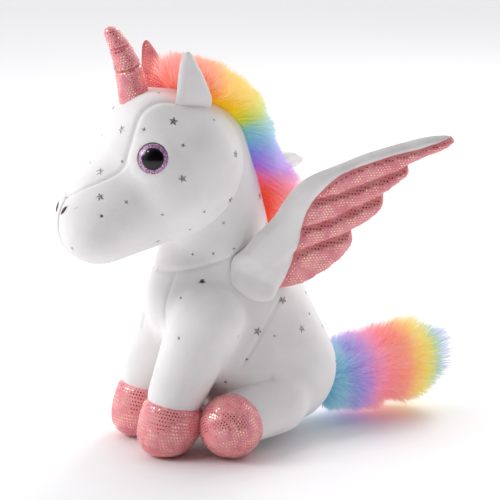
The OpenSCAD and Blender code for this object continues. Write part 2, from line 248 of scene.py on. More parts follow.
def make_foil():
    material, tree, shader, where = new_material("rose_gold_foil")
    lacquer = grain(tree, where, 7, 1).outputs["Fac"]
    colour = ramp(tree, lacquer, [(0.35, "C988A4"), (0.5, "EDB2BC"), (0.65, "F9DAC4")])
    tree.links.new(colour, shader.inputs["Base Color"])
    set_shader(shader, Metallic=1.0, Roughness=0.2)
    return material


def make_silver_print():
    material, tree, shader, where = new_material("silver_foil_print")
    # the foil's colour goes darker and lighter in specks about 0.9 mm across, and the same specks
    # make its bump
    foil_speckle = grain(tree, where, 0.9, 3).outputs["Fac"]
    colour = ramp(tree, foil_speckle, [(0.42, "6E6E70"), (0.55, "A9A9AB"), (0.68, "E4E4E4")])
    tree.links.new(colour, shader.inputs["Base Color"])
    set_shader(shader, Metallic=0.85, Roughness=0.32)
    bump(tree, shader, foil_speckle, 0.15, 0.5)
    return material


coral_knit = make_coral_knit()
foil = make_foil()
silver_print = make_silver_print()

# %% [markdown]
# ** Long pile** is acrylic faux fur about 20 to 30 mm long, dyed in bands. The mane's bands
# turn round the skull, from coral behind the horn to orange at the nape, and the tail's run
# along it. Tips are finer and catch more light than the dense roots, so the dye is painted
# paler towards the tip: a painted highlight. The strand's own along value, 0 at the root and
# 1 at the tip, drives that. Light that bounces between real fibres makes pile glow with its
# own dye: a little emission, a painted glow, stands in for it.

# %% Long pile
MANE_BANDS = [
    (0.00, "FFA39A"), (0.15, "FF9E86"), (0.22, "FFB266"), (0.29, "FFDA2E"), (0.42, "FFE93A"),
    (0.48, "E2EC66"), (0.54, "B4E4E0"), (0.61, "A2D6F2"), (0.68, "B4B4F6"), (0.75, "D4A2F4"),
    (0.81, "FF96C0"), (0.86, "FF7F70"), (0.94, "FF7652"), (1.00, "FFA03A"),
]
TAIL_BANDS = [
    (0.00, "7CC8DC"), (0.12, "8ACCE2"), (0.20, "A4A6E6"), (0.29, "D294E6"), (0.40, "FF90BC"),
    (0.49, "FF8884"), (0.60, "FFA070"), (0.69, "FFD634"), (0.79, "FBEA40"), (0.86, "C8E486"),
    (0.92, "A6D4EC"), (1.00, "BDB8F0"),
]
skull = mm(0, -72, 201)
mane_turn_center = (-62 * MM, 200 * MM)
mane_first, mane_last = math.radians(110), math.radians(-40)
tail_first, tail_last = tail_root.y, tail_root.y + 104 * MM
STRAY_DYE = 14 * MM


def make_pile(name, bands, round_the_skull):
    material, tree, shader, where = new_material(name)
    stray = grain(tree, where, 6, 2)
    swirl = vector_math(tree, "SUBTRACT", stray.outputs["Color"], (0.5, 0.5, 0.5))
    shifted = vector_math(tree, "MULTIPLY_ADD", swirl, (STRAY_DYE,) * 3, where)
    place = add_node(tree, "ShaderNodeSeparateXYZ", {0: shifted})
    if round_the_skull:
        across = maths(tree, "SUBTRACT", place.outputs["Y"], mane_turn_center[0])
        up = maths(tree, "SUBTRACT", place.outputs["Z"], mane_turn_center[1])
        value, first, last = maths(tree, "ARCTAN2", up, across), mane_first, mane_last
    else:
        value, first, last = place.outputs["Y"], tail_first, tail_last
    along_bands = add_node(tree, "ShaderNodeMapRange", {
        "Value": value, "From Min": first, "From Max": last,
    })
    dye = ramp(tree, along_bands.outputs[0], bands)
    along = add_node(tree, "ShaderNodeAttribute", attribute_name="along").outputs["Fac"]
    # painted highlight: the dye goes up to half white towards the tip, where the fibres catch the
    # light; the emission gives the same colour a painted glow
    painted_tip_highlight = maths(tree, "MULTIPLY", maths(tree, "POWER", along, 2.2), 0.5)
    dye_and_tip_highlight = mixed(tree, painted_tip_highlight, dye, linear("FFFFFF"))
    tree.links.new(dye_and_tip_highlight, shader.inputs["Base Color"])
    tree.links.new(dye_and_tip_highlight, shader.inputs["Emission Color"])
    set_shader(shader, Roughness=0.6, Specular_IOR_Level=0.3,
               Sheen_Weight=0.4, Sheen_Roughness=0.3, Emission_Strength=0.15)
    return material


mane_pile = make_pile("long_pile_mane", MANE_BANDS, True)
tail_pile = make_pile("long_pile_tail", TAIL_BANDS, False)

# %% [markdown]
# The rest: **fibre fill** is tangled crimped polyester; **embroidery rayon** is a glossy
# twisted thread; washers are **polyethylene**; the pouch of pellets is a plain **polyester
# lawn**. The eyes' finish is made with the eyes, because it follows their map.

# %% Small finishes
def make_plain(name, low, high, size_mm, roughness, depth_mm):
    """A finish of two close colours in patches of size_mm, with a bump of the same size"""
    material, tree, shader, where = new_material(name)
    patches = grain(tree, where, size_mm, 3).outputs["Fac"]
    tree.links.new(ramp(tree, patches, [(0.35, low), (0.65, high)]), shader.inputs["Base Color"])
    set_shader(shader, Roughness=roughness)
    bump(tree, shader, patches, depth_mm, 0.7)
    return material


fibre_fill = make_plain("fibre_fill_polyester", "E9E8E4", "FBFAF7", 1.6, 0.95, 0.8)
brown_rayon = make_plain("embroidery_rayon_brown", "33221D", "4B332B", 0.6, 0.45, 0.1)
coral_thread = make_plain("sewing_thread_coral", "D9696F", "EE8F8C", 0.5, 0.5, 0.1)
washer_plastic = make_plain("washer_polyethylene", "E8E9EA", "F4F5F5", 3.0, 0.4, 0.05)
pouch_lawn = make_plain("pouch_polyester_lawn", "DDD8CB", "EAE6DA", 0.8, 0.9, 0.15)
print(len(bpy.data.materials), "finishes")

# %% [markdown]
# A plush head is a balloon of fabric. Its stuffing pushes the panels out until they are
# round, so the natural building block is a ball, and a fabric form is what you get when a
# skin is drawn tight over a few balls. The convex hull does that. Several hulls are then
# melted into one skin by a voxel remesh and smoothed, as stuffing smooths the inside
# corners, and one subdivision gives the skin enough points to hold its seams.

# %% Forms drawn over balls
def ball_points(center, radius, count=420):
    golden_turn = math.pi * (3 - math.sqrt(5))
    for index in range(count):
        z = 1 - (2 * index + 1) / count
        ring = math.sqrt(1 - z * z)
        angle = golden_turn * index
        yield center + radius * Vector((ring * math.cos(angle), ring * math.sin(angle), z))


def add_form(shape, balls, shrink):
    """Draw a tight skin over (center, radius in mm) balls, inside a bmesh"""
    corners = [
        shape.verts.new(point)
        for center, radius in balls for point in ball_points(center, (radius - shrink) * MM)
    ]
    hull = bmesh.ops.convex_hull(shape, input=corners)
    inside = [item for item in hull["geom_interior"] if isinstance(item, bmesh.types.BMVert)]
    bmesh.ops.delete(shape, geom=inside, context="VERTS")


def new_object(name, mesh):
    item = bpy.data.objects.new(name, mesh)
    bpy.context.scene.collection.objects.link(item)
    return item


def finished(item):
    """Turn an object's modifiers into its plain mesh"""
    graph = bpy.context.evaluated_depsgraph_get()
    mesh = bpy.data.meshes.new_from_object(item.evaluated_get(graph), depsgraph=graph)
    item.modifiers.clear()
    old = item.data
    item.data = mesh
    bpy.data.meshes.remove(old)
    mesh.name = item.name
    return item


def melt(name, forms, voxel_mm, smooth_steps, levels=0, shrink=0):
    """One closed skin over all the forms"""
    shape = bmesh.new()
    for balls in forms:
        add_form(shape, balls, shrink)
    bmesh.ops.recalc_face_normals(shape, faces=shape.faces)
    mesh = bpy.data.meshes.new(name)
    shape.to_mesh(mesh)
    shape.free()
    item = new_object(name, mesh)
    remesh = item.modifiers.new("melt", "REMESH")
    remesh.mode = "VOXEL"
    remesh.voxel_size = voxel_mm * MM
    smooth = item.modifiers.new("stuff", "SMOOTH")
    smooth.factor = 0.5
    smooth.iterations = smooth_steps
    finished(item)
    if levels:
        finer = item.modifiers.new("finer", "SUBSURF")
        finer.levels = finer.render_levels = levels
        finished(item)
    print(name, len(item.data.polygons), "faces")
    return item


def both_sides(balls):
    return balls + [(mirror_x(center, -1), radius) for center, radius in balls]


def smoothstep(value, low=0.0, high=1.0):
    t = min(max((value - low) / (high - low), 0.0), 1.0)
    return t * t * (3 - 2 * t)


# %% [markdown]
# The head: a round skull, a broad crown that the ears stand on, two forehead corners and a
# muzzle. The muzzle is its own form, so the bridge of the nose dips where the two melt.

# %% Head form
head_forms = [
    both_sides([(mm(13, -66, 209), 40), (mm(14, -89, 231), 24)]) + [(skull, 53)],
    both_sides([(mm(3, -126, 166), 29.5)]) + [(mm(0, -92, 186), 41)],
]
head_skin = melt("head_skin", head_forms, 2.6, 14, 1)

# %% [markdown]
# The body: a neck that runs up inside the back of the head, a chest and a wide seat. The
# front legs are cut in one with the side panels, so they are melted into the same skin, and
# so are the short hind legs. The hooves are separate pieces, sewn on at the ankles.

# %% Body form
front_ankle = mm(25, -80, 41)
front_hoof = mm(25, -87, 0)
hind_hoof = mm(49, -48, 22.4)
toe_way = (hind_hoof - hip).normalized()
hind_ankle = hind_hoof - toe_way * 13 * MM
neck_forms = [
    [(mm(0, -57, 207), 41), (mm(0, -45, 178), 38.5)],
    [(mm(0, -45, 178), 38.5), (mm(0, -38, 152), 38)],
]
torso_forms = [
    [(mm(0, -38, 152), 37), (mm(0, -44, 134), 34)],
    [(mm(0, -45, 136), 33), (mm(0, -53, 102), 37), (mm(0, -12, 100), 42)],
    both_sides([(mm(6, 8, 48), 43.5), (mm(6, -10, 46), 43)])
    + [(mm(0, -46, 98), 35), (mm(0, -12, 98), 41)],
]
leg_forms = {
    "front": [(shoulder, 26), (front_ankle, 19.6)],
    "hind": [(hip, 27), (hind_ankle, 18.8)],
}
body_forms = neck_forms + torso_forms + [
    [(mirror_x(center, side), radius) for center, radius in balls]
    for balls in leg_forms.values() for side in SIDES.values()
]
body_skin = melt("body_skin", body_forms, 2.5, 9, 1)

# %% [markdown]
# A seam is a valley: two panels are sewn face to face, turned, and the stuffing swells on
# both sides of the thread. Each seam here is a distance function, 0 on the seam line. The
# skin is cut exactly there, drawn in beside it, and parted into its panels.

# %% Seams and panels
def draw_in(item, seams):
    """Pull a skin in along seams of (distance function in metres, half width mm, depth mm)"""
    item.data.update()
    pulls = []
    for vertex in item.data.vertices:
        pull = 0.0
        for distance, width, depth in seams:
            away = distance(vertex.co)
            if away is not None:
                pull = max(pull, depth * MM * math.exp(-(away / (width * MM)) ** 2))
        pulls.append(vertex.normal * pull)
    for vertex, pull in zip(item.data.vertices, pulls):
        vertex.co -= pull


def cut_lines(item, lines):
    """Cut a skin's faces along each line where its distance function is 0"""
    shape = bmesh.new()
    shape.from_mesh(item.data)
    for line in lines:
        value = {vert: line(vert.co) for vert in shape.verts}
        on_line = []
        for edge in list(shape.edges):
            a, b = edge.verts
            if value[a] * value[b] < 0:
                vert = bmesh.utils.edge_split(edge, a, value[a] / (value[a] - value[b]))[1]
                value[vert] = 0.0
                on_line.append(vert)
        bmesh.ops.connect_verts(shape, verts=on_line)
    shape.to_mesh(item.data)
    shape.free()


def part_panels(item, panel_of, hem_mm=2.2):
    """One piece for each name that panel_of gives a face's middle, its edges turned in"""
    mesh = item.data
    mesh.update()
    groups = {}
    for face in mesh.polygons:
        name = panel_of(face.center)
        if name:
            groups.setdefault(name, []).append(tuple(face.vertices))
    pieces = {}
    for name, faces in groups.items():
        used = sorted({index for face in faces for index in face})
        new = {old: index for index, old in enumerate(used)}
        faces = [tuple(new[index] for index in face) for face in faces]
        places = [mesh.vertices[index].co.copy() for index in used]
        normals = [mesh.vertices[index].normal.copy() for index in used]
        sides = [(a, b) for face in faces for a, b in zip(face, face[1:] + face[:1])]
        paired = set(sides)
        rim = [(a, b) for a, b in sides if (b, a) not in paired]
        tucked = {}
        for a in sorted({index for side in rim for index in side}):
            tucked[a] = len(places)
            places.append(places[a] - normals[a] * hem_mm * MM)
            normals.append(normals[a])
        faces += [(b, a, tucked[a], tucked[b]) for a, b in rim]
        data = bpy.data.meshes.new(name)
        data.from_pydata(places, [], faces)
        data.shade_smooth()
        data.normals_split_custom_set_from_vertices(normals)
        pieces[name] = new_object(name, data)
    bpy.data.objects.remove(item)
    print("panels:", ", ".join(sorted(pieces)))
    return pieces


def tree_of(*items):
    """One search tree over several skins"""
    places, faces = [], []
    for item in items:
        start = len(places)
        places += [vertex.co.copy() for vertex in item.data.vertices]
        faces += [tuple(index + start for index in face.vertices) for face in item.data.polygons]
    return BVHTree.FromPolygons(places, faces)


def stuffed(piece, slot, material):
    piece.data.materials.clear()
    piece.data.materials.append(material)
    return piece


# %% [markdown]
# The head has three panels: a strip over the forehead and a cheek on each side. The strip
# is widest over the brow and narrows to nothing on the nose, where the cheeks meet in one
# seam that runs on under the chin. The skin is also pressed in where each eye is bolted on.

# %% Head panels
brow_half = 28 * MM
eye_low, eye_high = (Vector(corner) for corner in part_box("eye_left_lens"))
eye_turn = Matrix.Rotation(math.radians(-36), 3, "Z") @ Matrix.Rotation(math.radians(78), 3, "Y")
eye_way = eye_turn @ Vector((0, 0, 1))
eye_back = (eye_low + eye_high) / 2 - eye_way * 1.9 * MM
eye_r = 11 * MM


def beside_strip(p):
    """Distance out from the edge of the forehead strip"""
    brow = math.sin(math.pi / 2 * min(max((p.z / MM - 184) / 28, 0), 1))
    behind_ears = smoothstep(p.y / MM, -66, -50)
    return abs(p.x) - brow_half * brow * (1 - 0.62 * behind_ears)


def seat_eyes(item):
    """Press the skin in flat under each eye"""
    for vertex in item.data.vertices:
        side = 1 if vertex.co.x > 0 else -1
        reach = vertex.co - mirror_x(eye_back, side)
        way = mirror_x(eye_way, side)
        height = reach.dot(way)
        sideways = (reach - way * height).length / MM
        if sideways < 19 and abs(height) < 12 * MM:
            press = 1 - smoothstep(sideways, 10.5, 19)
            vertex.co -= way * (height - 0.4 * MM) * press


seat_eyes(head_skin)
cut_lines(head_skin, [beside_strip, lambda p: p.x])
draw_in(head_skin, [(beside_strip, 1.5, 1.1)])
head_tree = tree_of(head_skin)


def head_panel(p):
    if beside_strip(p) < 0:
        return "head_strip"
    return "head_cheek_left" if p.x > 0 else "head_cheek_right"


head_panels = part_panels(head_skin, head_panel)
for name, piece in head_panels.items():
    stuffed(piece, "plush_white", velboa)
    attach(piece, "head")
    side = name.rsplit("_", 1)[-1]
    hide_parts("head_gusset" if side == "strip" else f"head_side_{side}")

# %% [markdown]
# The body's panels: two sides, a chest strip between them, an oval base, and a band round
# the neck. The legs are cut in one with the sides, but they bend, so each becomes a piece
# of its own, parted where the leg leaves the belly. How far a point is outside a leg's own
# form, less how far it is outside the belly, is 0 along that crease.

# %% Body panels
def outside_limb(p, balls):
    (a, a_r), (b, b_r) = balls
    span = b - a
    t = min(max((p - a).dot(span) / span.length_squared, 0), 1)
    return (p - a - span * t).length - (a_r + (b_r - a_r) * t) * MM


belly = melt("belly", torso_forms, 4, 4)
belly_tree = tree_of(belly)
bpy.data.objects.remove(belly)


def outside_belly(p):
    near, normal, _, distance = belly_tree.find_nearest(p)
    return distance if (p - near).dot(normal) > 0 else -distance


def crease(limb):
    def distance(p):
        return outside_limb(on_left(p), leg_forms[limb]) - outside_belly(on_left(p))
    return distance


front_crease, hind_crease = crease("front"), crease("hind")
front_cut = 76 * MM
hind_cut = 20 * MM
base_line = 6 * MM
chest_half = 19 * MM
neck_low = mm(0, -79, 129)
neck_up = Vector((0, -0.28, 1)).normalized()


def above_neck_seam(p):
    return (p - neck_low).dot(neck_up)


def down_hind_leg(p):
    return (on_left(p) - hip).dot(toe_way)


def chest_seam(p):
    on_chest = p.y < -48 * MM and p.z > 80 * MM and above_neck_seam(p) < 0
    return abs(p.x) - chest_half if on_chest else None


def side_seam(p):
    """A slanting seam from the wing down to the thigh"""
    if not 62 * MM < p.z < 108 * MM or abs(p.x) < 25 * MM:
        return None
    return (p.y + 8 * MM) * 0.83 - (p.z - 105 * MM) * 0.55


def hind_seam(p):
    return hind_crease(p) if 10 * MM < down_hind_leg(p) < 32 * MM and p.z > 3 * MM else None


def body_panel(p):
    side = "left" if p.x > 0 else "right"
    if above_neck_seam(p) > 0:
        return "neck_band"
    front_out, hind_out = (outside_limb(on_left(p), balls) for balls in leg_forms.values())
    if p.z < front_cut and p.y < -35 * MM and front_crease(p) < 0 and front_out < hind_out:
        return f"front_leg_{side}"
    if down_hind_leg(p) > hind_cut and hind_crease(p) < 0:
        return f"hind_leg_{side}"
    if p.z < base_line and abs(p.x) < 36 * MM and abs(p.y) < 44 * MM:
        return "base_panel"
    if abs(p.x) < chest_half and p.y < -40 * MM:
        return "chest_strip"
    return f"body_{side}"


for vertex in body_skin.data.vertices:
    low = vertex.co.z / MM
    if low < 4:
        vertex.co.z = (4 - 3.7 * math.tanh((4 - low) / 3.7)) * MM
cut_lines(body_skin, [
    above_neck_seam, lambda p: abs(p.x) - chest_half, lambda p: p.x, lambda p: p.z - base_line,
    lambda p: p.z - front_cut, lambda p: down_hind_leg(p) - hind_cut, front_crease, hind_crease,
])
draw_in(body_skin, [
    (above_neck_seam, 1.5, 1.0), (chest_seam, 1.4, 0.8),
    (side_seam, 1.5, 0.7), (hind_seam, 1.6, 1.2),
    (lambda p: p.z - base_line if p.z < 12 * MM else None, 1.5, 1.0),
    (lambda p: p.x if p.y > 5 * MM else None, 1.4, 0.8),
])
body_tree = tree_of(body_skin)
body_panels = part_panels(body_skin, body_panel)

# %% [markdown]
# The side, chest and base panels are attached to the torso. The leg panels and the neck
# band cross a bend, but here they are only fixed where they lie.

# %% Panels on the torso, and panels fixed where they lie
def follow_front_leg(piece, side):
    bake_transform(piece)


def follow_hind_leg(piece, side):
    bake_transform(piece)


def follow_neck(piece):
    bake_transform(piece)


for name, piece in body_panels.items():
    stuffed(piece, "plush_white", velboa)
follow_neck(body_panels["neck_band"])
for name, node in {"body_left": "body_side_left", "body_right": "body_side_right",
                   "chest_strip": "chest_gusset", "base_panel": "seat_base"}.items():
    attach(body_panels[name], "torso")
    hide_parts(node)
for side in SIDES:
    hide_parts(f"front_leg_{side}_cover")
    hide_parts(f"hind_leg_{side}_cover")
    follow_front_leg(body_panels[f"front_leg_{side}"], side)
    follow_hind_leg(body_panels[f"hind_leg_{side}"], side)

# %% [markdown]
# The stuffing fills every form just under its skin. It is the same forms shrunk by the
# cloth's thickness, melted more coarsely, because nobody sees tufts of fibre in there.

# %% Stuffing
def fill_form(name, forms, node, shrink=2.6):
    piece = melt(name, forms, 5, 3, shrink=shrink)
    piece.data.shade_smooth()
    stuffed(piece, "stuffing", fibre_fill)
    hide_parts(node)
    return piece


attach(fill_form("head_fill", head_forms, "head_stuffing", 3.2), "head")
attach(fill_form("body_fill", torso_forms, "body_stuffing", 3.2), "torso")
front_foot = [(front_ankle, 19.6), (front_hoof + mm(0, 0, 22), 20)]
limb_fills = {
    "front_leg": (follow_front_leg, [leg_forms["front"], front_foot]),
    "hind_leg": (follow_hind_leg, [leg_forms["hind"], [(hind_hoof, 22)]]),
}
for side, sign in SIDES.items():
    for limb, (follow, forms) in limb_fills.items():
        forms = [[(mirror_x(center, sign), radius) for center, radius in balls] for balls in forms]
        follow(fill_form(f"{limb}_{side}_fill", forms, f"{limb}_{side}_stuffing"), side)

# %% [markdown]
# Horn, hooves and eyes are turned forms: a point is found from how far it is along the
# form and how far round. The same function places the rings of the mesh and, later, the
# foil dots, so the dots sit exactly on the cloth.

# %% Turned forms
def turned(name, point_at, steps, around, close_start=True, close_end=True, first=0.0, last=1.0):
    """Mesh over point_at(along, round), each from 0 to 1"""
    shape = bmesh.new()
    rings = []
    for i in range(steps + 1):
        along = first + (last - first) * i / steps
        rings.append([shape.verts.new(point_at(along, j / around)) for j in range(around)])
    for low, high in zip(rings, rings[1:]):
        for j in range(around):
            k = (j + 1) % around
            shape.faces.new((low[j], low[k], high[k], high[j]))
    for ring, close in ((rings[0], close_start), (rings[-1], close_end)):
        if close:
            middle = shape.verts.new(sum((vert.co for vert in ring), Vector()) / around)
            for j in range(around):
                shape.faces.new((ring[j], ring[(j + 1) % around], middle))
    bmesh.ops.recalc_face_normals(shape, faces=shape.faces)
    mesh = bpy.data.meshes.new(name)
    shape.to_mesh(mesh)
    shape.free()
    mesh.shade_smooth()
    return new_object(name, mesh)


def honeycomb(point_at, pitch_mm, first=0.0, last=1.0, samples=400):
    """Places and facings of dots in staggered rows over a turned form"""
    dots = []
    row, walked = 0, 0.0
    before = point_at(first, 0.3)
    for step in range(1, samples + 1):
        along = first + (last - first) * step / samples
        here = point_at(along, 0.3)
        walked += (here - before).length
        before = here
        if walked < pitch_mm * 0.866 * MM:
            continue
        walked = 0.0
        row += 1
        ring = [point_at(along, j / 24) for j in range(24)]
        length = sum((ring[j] - ring[j - 1]).length for j in range(24))
        count = max(round(length / (pitch_mm * MM)), 1)
        middle = sum(ring, Vector()) / 24
        for j in range(count):
            turn = (j + 0.5 * (row % 2)) / count
            place = point_at(along, turn)
            round_way = point_at(along, turn + 0.01) - place
            face = round_way.cross(point_at(along + 0.01, turn) - place)
            if face.length == 0:
                continue
            face.normalize()
            if face.dot(place - middle) < -0.2 * (place - middle).length:
                face = -face
            dots.append((place, face))
    return dots


# %% [markdown]
# Foil dots, printed stars and stitches all repeat one small piece many times, so one
# Geometry Nodes tree sets them: it takes bare points that know which way they face, puts
# a copy of the small piece on each, tips each copy a little at random, and joins them.

# %% A tree that sets small pieces on points
def new_tree(name, **inputs):
    """Geometry Nodes tree with named inputs; an underscore stands for a space"""
    tree = bpy.data.node_groups.new(name, "GeometryNodeTree")
    tree.interface.new_socket("Geometry", in_out="INPUT", socket_type="NodeSocketGeometry")
    for socket, kind in inputs.items():
        tree.interface.new_socket(socket.replace("_", " "), in_out="INPUT",
                                  socket_type="NodeSocket" + kind)
    tree.interface.new_socket("Geometry", in_out="OUTPUT", socket_type="NodeSocketGeometry")
    return tree, add_node(tree, "NodeGroupInput").outputs


def named(tree, name, kind):
    return add_node(tree, "GeometryNodeInputNamedAttribute", {"Name": name},
                    data_type=kind).outputs["Attribute"]


def make_setting_tree():
    tree, given = new_tree("set_small_pieces", Small_piece="Object", Tip="Float", Seed="Int",
                           Finish="Material")
    piece = add_node(tree, "GeometryNodeObjectInfo", {"Object": given["Small piece"]})
    up = add_node(tree, "FunctionNodeAlignRotationToVector",
                  {"Vector": named(tree, "facing", "FLOAT_VECTOR")}, axis="Z")
    ahead = add_node(tree, "FunctionNodeAlignRotationToVector",
                     {"Rotation": up.outputs[0], "Vector": named(tree, "heading", "FLOAT_VECTOR")},
                     axis="X", pivot_axis="Z")
    tip = add_node(tree, "FunctionNodeRandomValue", {
        0: vector_math(tree, "SCALE", (-1, -1, 0), scale=given["Tip"]),
        1: vector_math(tree, "SCALE", (1, 1, 0), scale=given["Tip"]), "Seed": given["Seed"],
    }, data_type="FLOAT_VECTOR")
    tilt = add_node(tree, "FunctionNodeEulerToRotation", {0: tip.outputs[0]})
    turned_by = add_node(tree, "FunctionNodeRotateRotation",
                         {0: ahead.outputs[0], 1: tilt.outputs[0]}, rotation_space="LOCAL")
    copies = add_node(tree, "GeometryNodeInstanceOnPoints", {
        "Points": given["Geometry"], "Instance": piece.outputs["Geometry"],
        "Rotation": turned_by.outputs[0], "Scale": named(tree, "size", "FLOAT"),
    })
    joined = add_node(tree, "GeometryNodeRealizeInstances", {0: copies.outputs[0]})
    finish = add_node(tree, "GeometryNodeSetMaterial",
                      {0: joined.outputs[0], "Material": given["Finish"]})
    add_node(tree, "NodeGroupOutput", {0: finish.outputs[0]})
    return tree


setting_tree = make_setting_tree()


def give_inputs(modifier, tree, **values):
    for socket in tree.interface.items_tree:
        key = socket.name.replace(" ", "_")
        if socket.in_out == "INPUT" and key in values:
            modifier[socket.identifier] = values[key]


def set_pieces(name, places, small_piece, finish, tip=0.0, seed=1):
    """places: (place, facing, heading, size) for each copy of small_piece"""
    mesh = bpy.data.meshes.new(name)
    mesh.from_pydata([place for place, *_ in places], [], [])
    kinds = {"facing": "FLOAT_VECTOR", "heading": "FLOAT_VECTOR", "size": "FLOAT"}
    for attribute, kind in kinds.items():
        mesh.attributes.new(attribute, kind, "POINT")
    facing, heading, size = (mesh.attributes[attribute].data for attribute in kinds)
    for index, (_, face, head, scale) in enumerate(places):
        facing[index].vector = face
        heading[index].vector = head
        size[index].value = scale
    item = new_object(name, mesh)
    modifier = item.modifiers.new("set", "NODES")
    modifier.node_group = setting_tree
    give_inputs(modifier, setting_tree, Small_piece=small_piece, Tip=tip, Seed=seed, Finish=finish)
    finished(item)
    print(name, len(places), "copies")
    return item


small_pieces = []


def small_piece(name, points, faces, smooth=False):
    mesh = bpy.data.meshes.new(name)
    mesh.from_pydata([Vector(point) * MM for point in points], [], faces)
    if smooth:
        mesh.shade_smooth()
    item = new_object(name, mesh)
    small_pieces.append(item)
    return item


def raised_shape(name, outline, height_mm, bow_mm=38, inset=0.86):
    """A thin printed patch with a sloped edge, bowed like the cloth under it"""
    count = len(outline)
    rows = [(1.0, 0.0), (inset, height_mm)]
    points = [
        (x * scale, y * scale, height - (x * x + y * y) * scale * scale / (2 * bow_mm))
        for scale, height in rows for x, y in outline
    ]
    points.append((0, 0, height_mm))
    faces = []
    for i in range(count):
        k = (i + 1) % count
        faces += [(i, k, count + k, count + i), (count + i, count + k, 2 * count)]
    return small_piece(name, points, faces)


def ring_outline(count, radius, inner=None):
    radii = [radius, inner or radius]
    turns = [math.tau * i / count for i in range(count)]
    return [(radii[i % 2] * math.cos(turn), radii[i % 2] * math.sin(turn))
            for i, turn in enumerate(turns)]


foil_dot = raised_shape("foil_dot", ring_outline(8, 0.6), 0.08, bow_mm=45, inset=0.88)
DOT_TIP = 0.06
DOT_PITCH = 2.15
DOT_LIFT = 0.05 * MM


def foil_dots(name, dots, heading, seed, lift=DOT_LIFT):
    """Foil dots from (place, facing) pairs"""
    places = [(place + face * lift, face, heading, 1.0) for place, face in dots]
    return set_pieces(name, places, foil_dot, foil, DOT_TIP, seed)


print("small pieces:", len(small_pieces))

# %% [markdown]
# Front hooves are boots: a rounded form on a flat sole, whose top leans back and tilts with
# the shin. Hind hooves are balls, because the toy sits with its hind soles facing forward,
# so there the sole is the cap in front of a round seam.

# %% Hooves
hoof_r, hoof_half_h = 22.6, 22.5
hoof_top_angle = 38
sole_line = 7
hind_seam_at = 13


def front_hoof_point(side):
    foot = mirror_x(front_hoof, side)

    def point_at(along, round_):
        angle = math.radians(-90 + (90 + hoof_top_angle) * along)
        radius = hoof_r * max(math.cos(angle), 0.0) ** 0.6
        height = hoof_half_h * (1 + math.sin(angle))
        radius -= 0.9 * math.exp(-((height - sole_line) / 1.1) ** 2)
        radius -= 1.3 * smoothstep(along, 0.93, 1.0)
        rise = smoothstep(height, 6, 36)
        x = radius * math.cos(math.tau * round_)
        y = radius * math.sin(math.tau * round_)
        return foot + mm(x, y + 6.5 * rise, 0.3 + height - 0.22 * y * rise)
    return point_at


def hind_hoof_point(side):
    foot = mirror_x(hind_hoof, side)
    toe = mirror_x(toe_way, side)
    across = toe.cross(Vector((0, 0, 1))).normalized()
    upward = across.cross(toe)

    def point_at(along, round_):
        reach = -13 + (13 + hoof_r) * along
        angle = math.asin(min(max(reach / hoof_r, -1), 1))
        radius = hoof_r * math.cos(angle)
        radius -= 1.0 * math.exp(-((reach - hind_seam_at) / 1.2) ** 2)
        radius -= 1.2 * smoothstep(along, 0.06, 0.0)
        turn = math.tau * round_
        out = across * radius * math.cos(turn) + upward * radius * math.sin(turn)
        place = foot + (toe * reach + out) * MM
        low = place.z / MM
        place.z = max(low, 2.2 + (low - 2.2) * 0.55, 0.3) * MM if low < 2.2 else place.z
        return place
    return point_at


def angle_share(height):
    """How far along the boot's profile a height is reached"""
    return (math.degrees(math.asin(height / hoof_half_h - 1)) + 90) / (90 + hoof_top_angle)


hooves = {
    "front": (front_hoof_point, follow_front_leg, angle_share(sole_line), ("sole", "hoof")),
    "hind": (hind_hoof_point, follow_hind_leg,
             (13 + hind_seam_at) / (13 + hoof_r), ("hoof", "sole")),
}
UPRIGHT = Vector((0, 0, 1))
for side, sign in SIDES.items():
    for limb, (form, follow, share, parts) in hooves.items():
        point_at = form(sign)
        for part, first, last in zip(parts, (0.0, share), (share, 1.0)):
            piece = turned(f"{limb}_{part}_{side}_cloth", point_at, 28, 72,
                           close_start=first == 0.0 and limb == "front",
                           close_end=last == 1.0 and limb == "hind", first=first, last=last)
            stuffed(piece, "foil_dot_pink", coral_knit)
            cad_name = f"{limb}_sole_{side}" if part == "sole" else f"{limb}_hoof_{side}_cover"
            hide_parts(cad_name)
            follow(piece, side)
        dots = honeycomb(point_at, DOT_PITCH, 0.02, 0.985)
        follow(foil_dots(f"{limb}_hoof_{side}_dots", dots, UPRIGHT, 3), side)

# %% [markdown]
# The horn is a stuffed cone that leans forward and curls a little. Two windings of thread
# pull it in, and the cloth puckers between them.

# %% Horn
horn_lean = math.radians(20)
horn_way = Vector((0, -math.sin(horn_lean), math.cos(horn_lean)))
horn_back = Vector((0, math.cos(horn_lean), math.sin(horn_lean)))
horn_h = 52
pinches = (0.4, 0.7)


def horn_point(along, round_):
    t = along * 1.16 - 0.16
    radius = 10.6 + (4.4 - 10.6) * max(t, 0) ** 1.5
    for pinch in pinches:
        radius -= 0.9 * math.exp(-((t - pinch) / 0.022) ** 2)
        radius += 0.35 * math.exp(-((t - pinch) / 0.09) ** 2)
    if t > 0.9:
        radius *= math.sqrt(max(1 - ((t - 0.9) / 0.1) ** 2, 0.0)) * 0.999 + 0.001
    turn = math.tau * round_
    pucker = sum(math.exp(-((t - pinch) / 0.06) ** 2) for pinch in pinches)
    radius *= 1 + 0.02 * pucker * math.sin(11 * turn)
    curl = 3.2 * math.sin(math.pi * min(max(t, 0), 1))
    middle = horn_root + (horn_way * horn_h * t + horn_back * curl) * MM
    out = Vector((1, 0, 0)) * math.cos(turn) + horn_back * math.sin(turn)
    return middle + out * radius * MM


def inside_horn(along, round_):
    along *= 0.96
    middle = (horn_point(along, 0) + horn_point(along, 0.5)) / 2
    return middle + (horn_point(along, round_) - middle) * 0.86


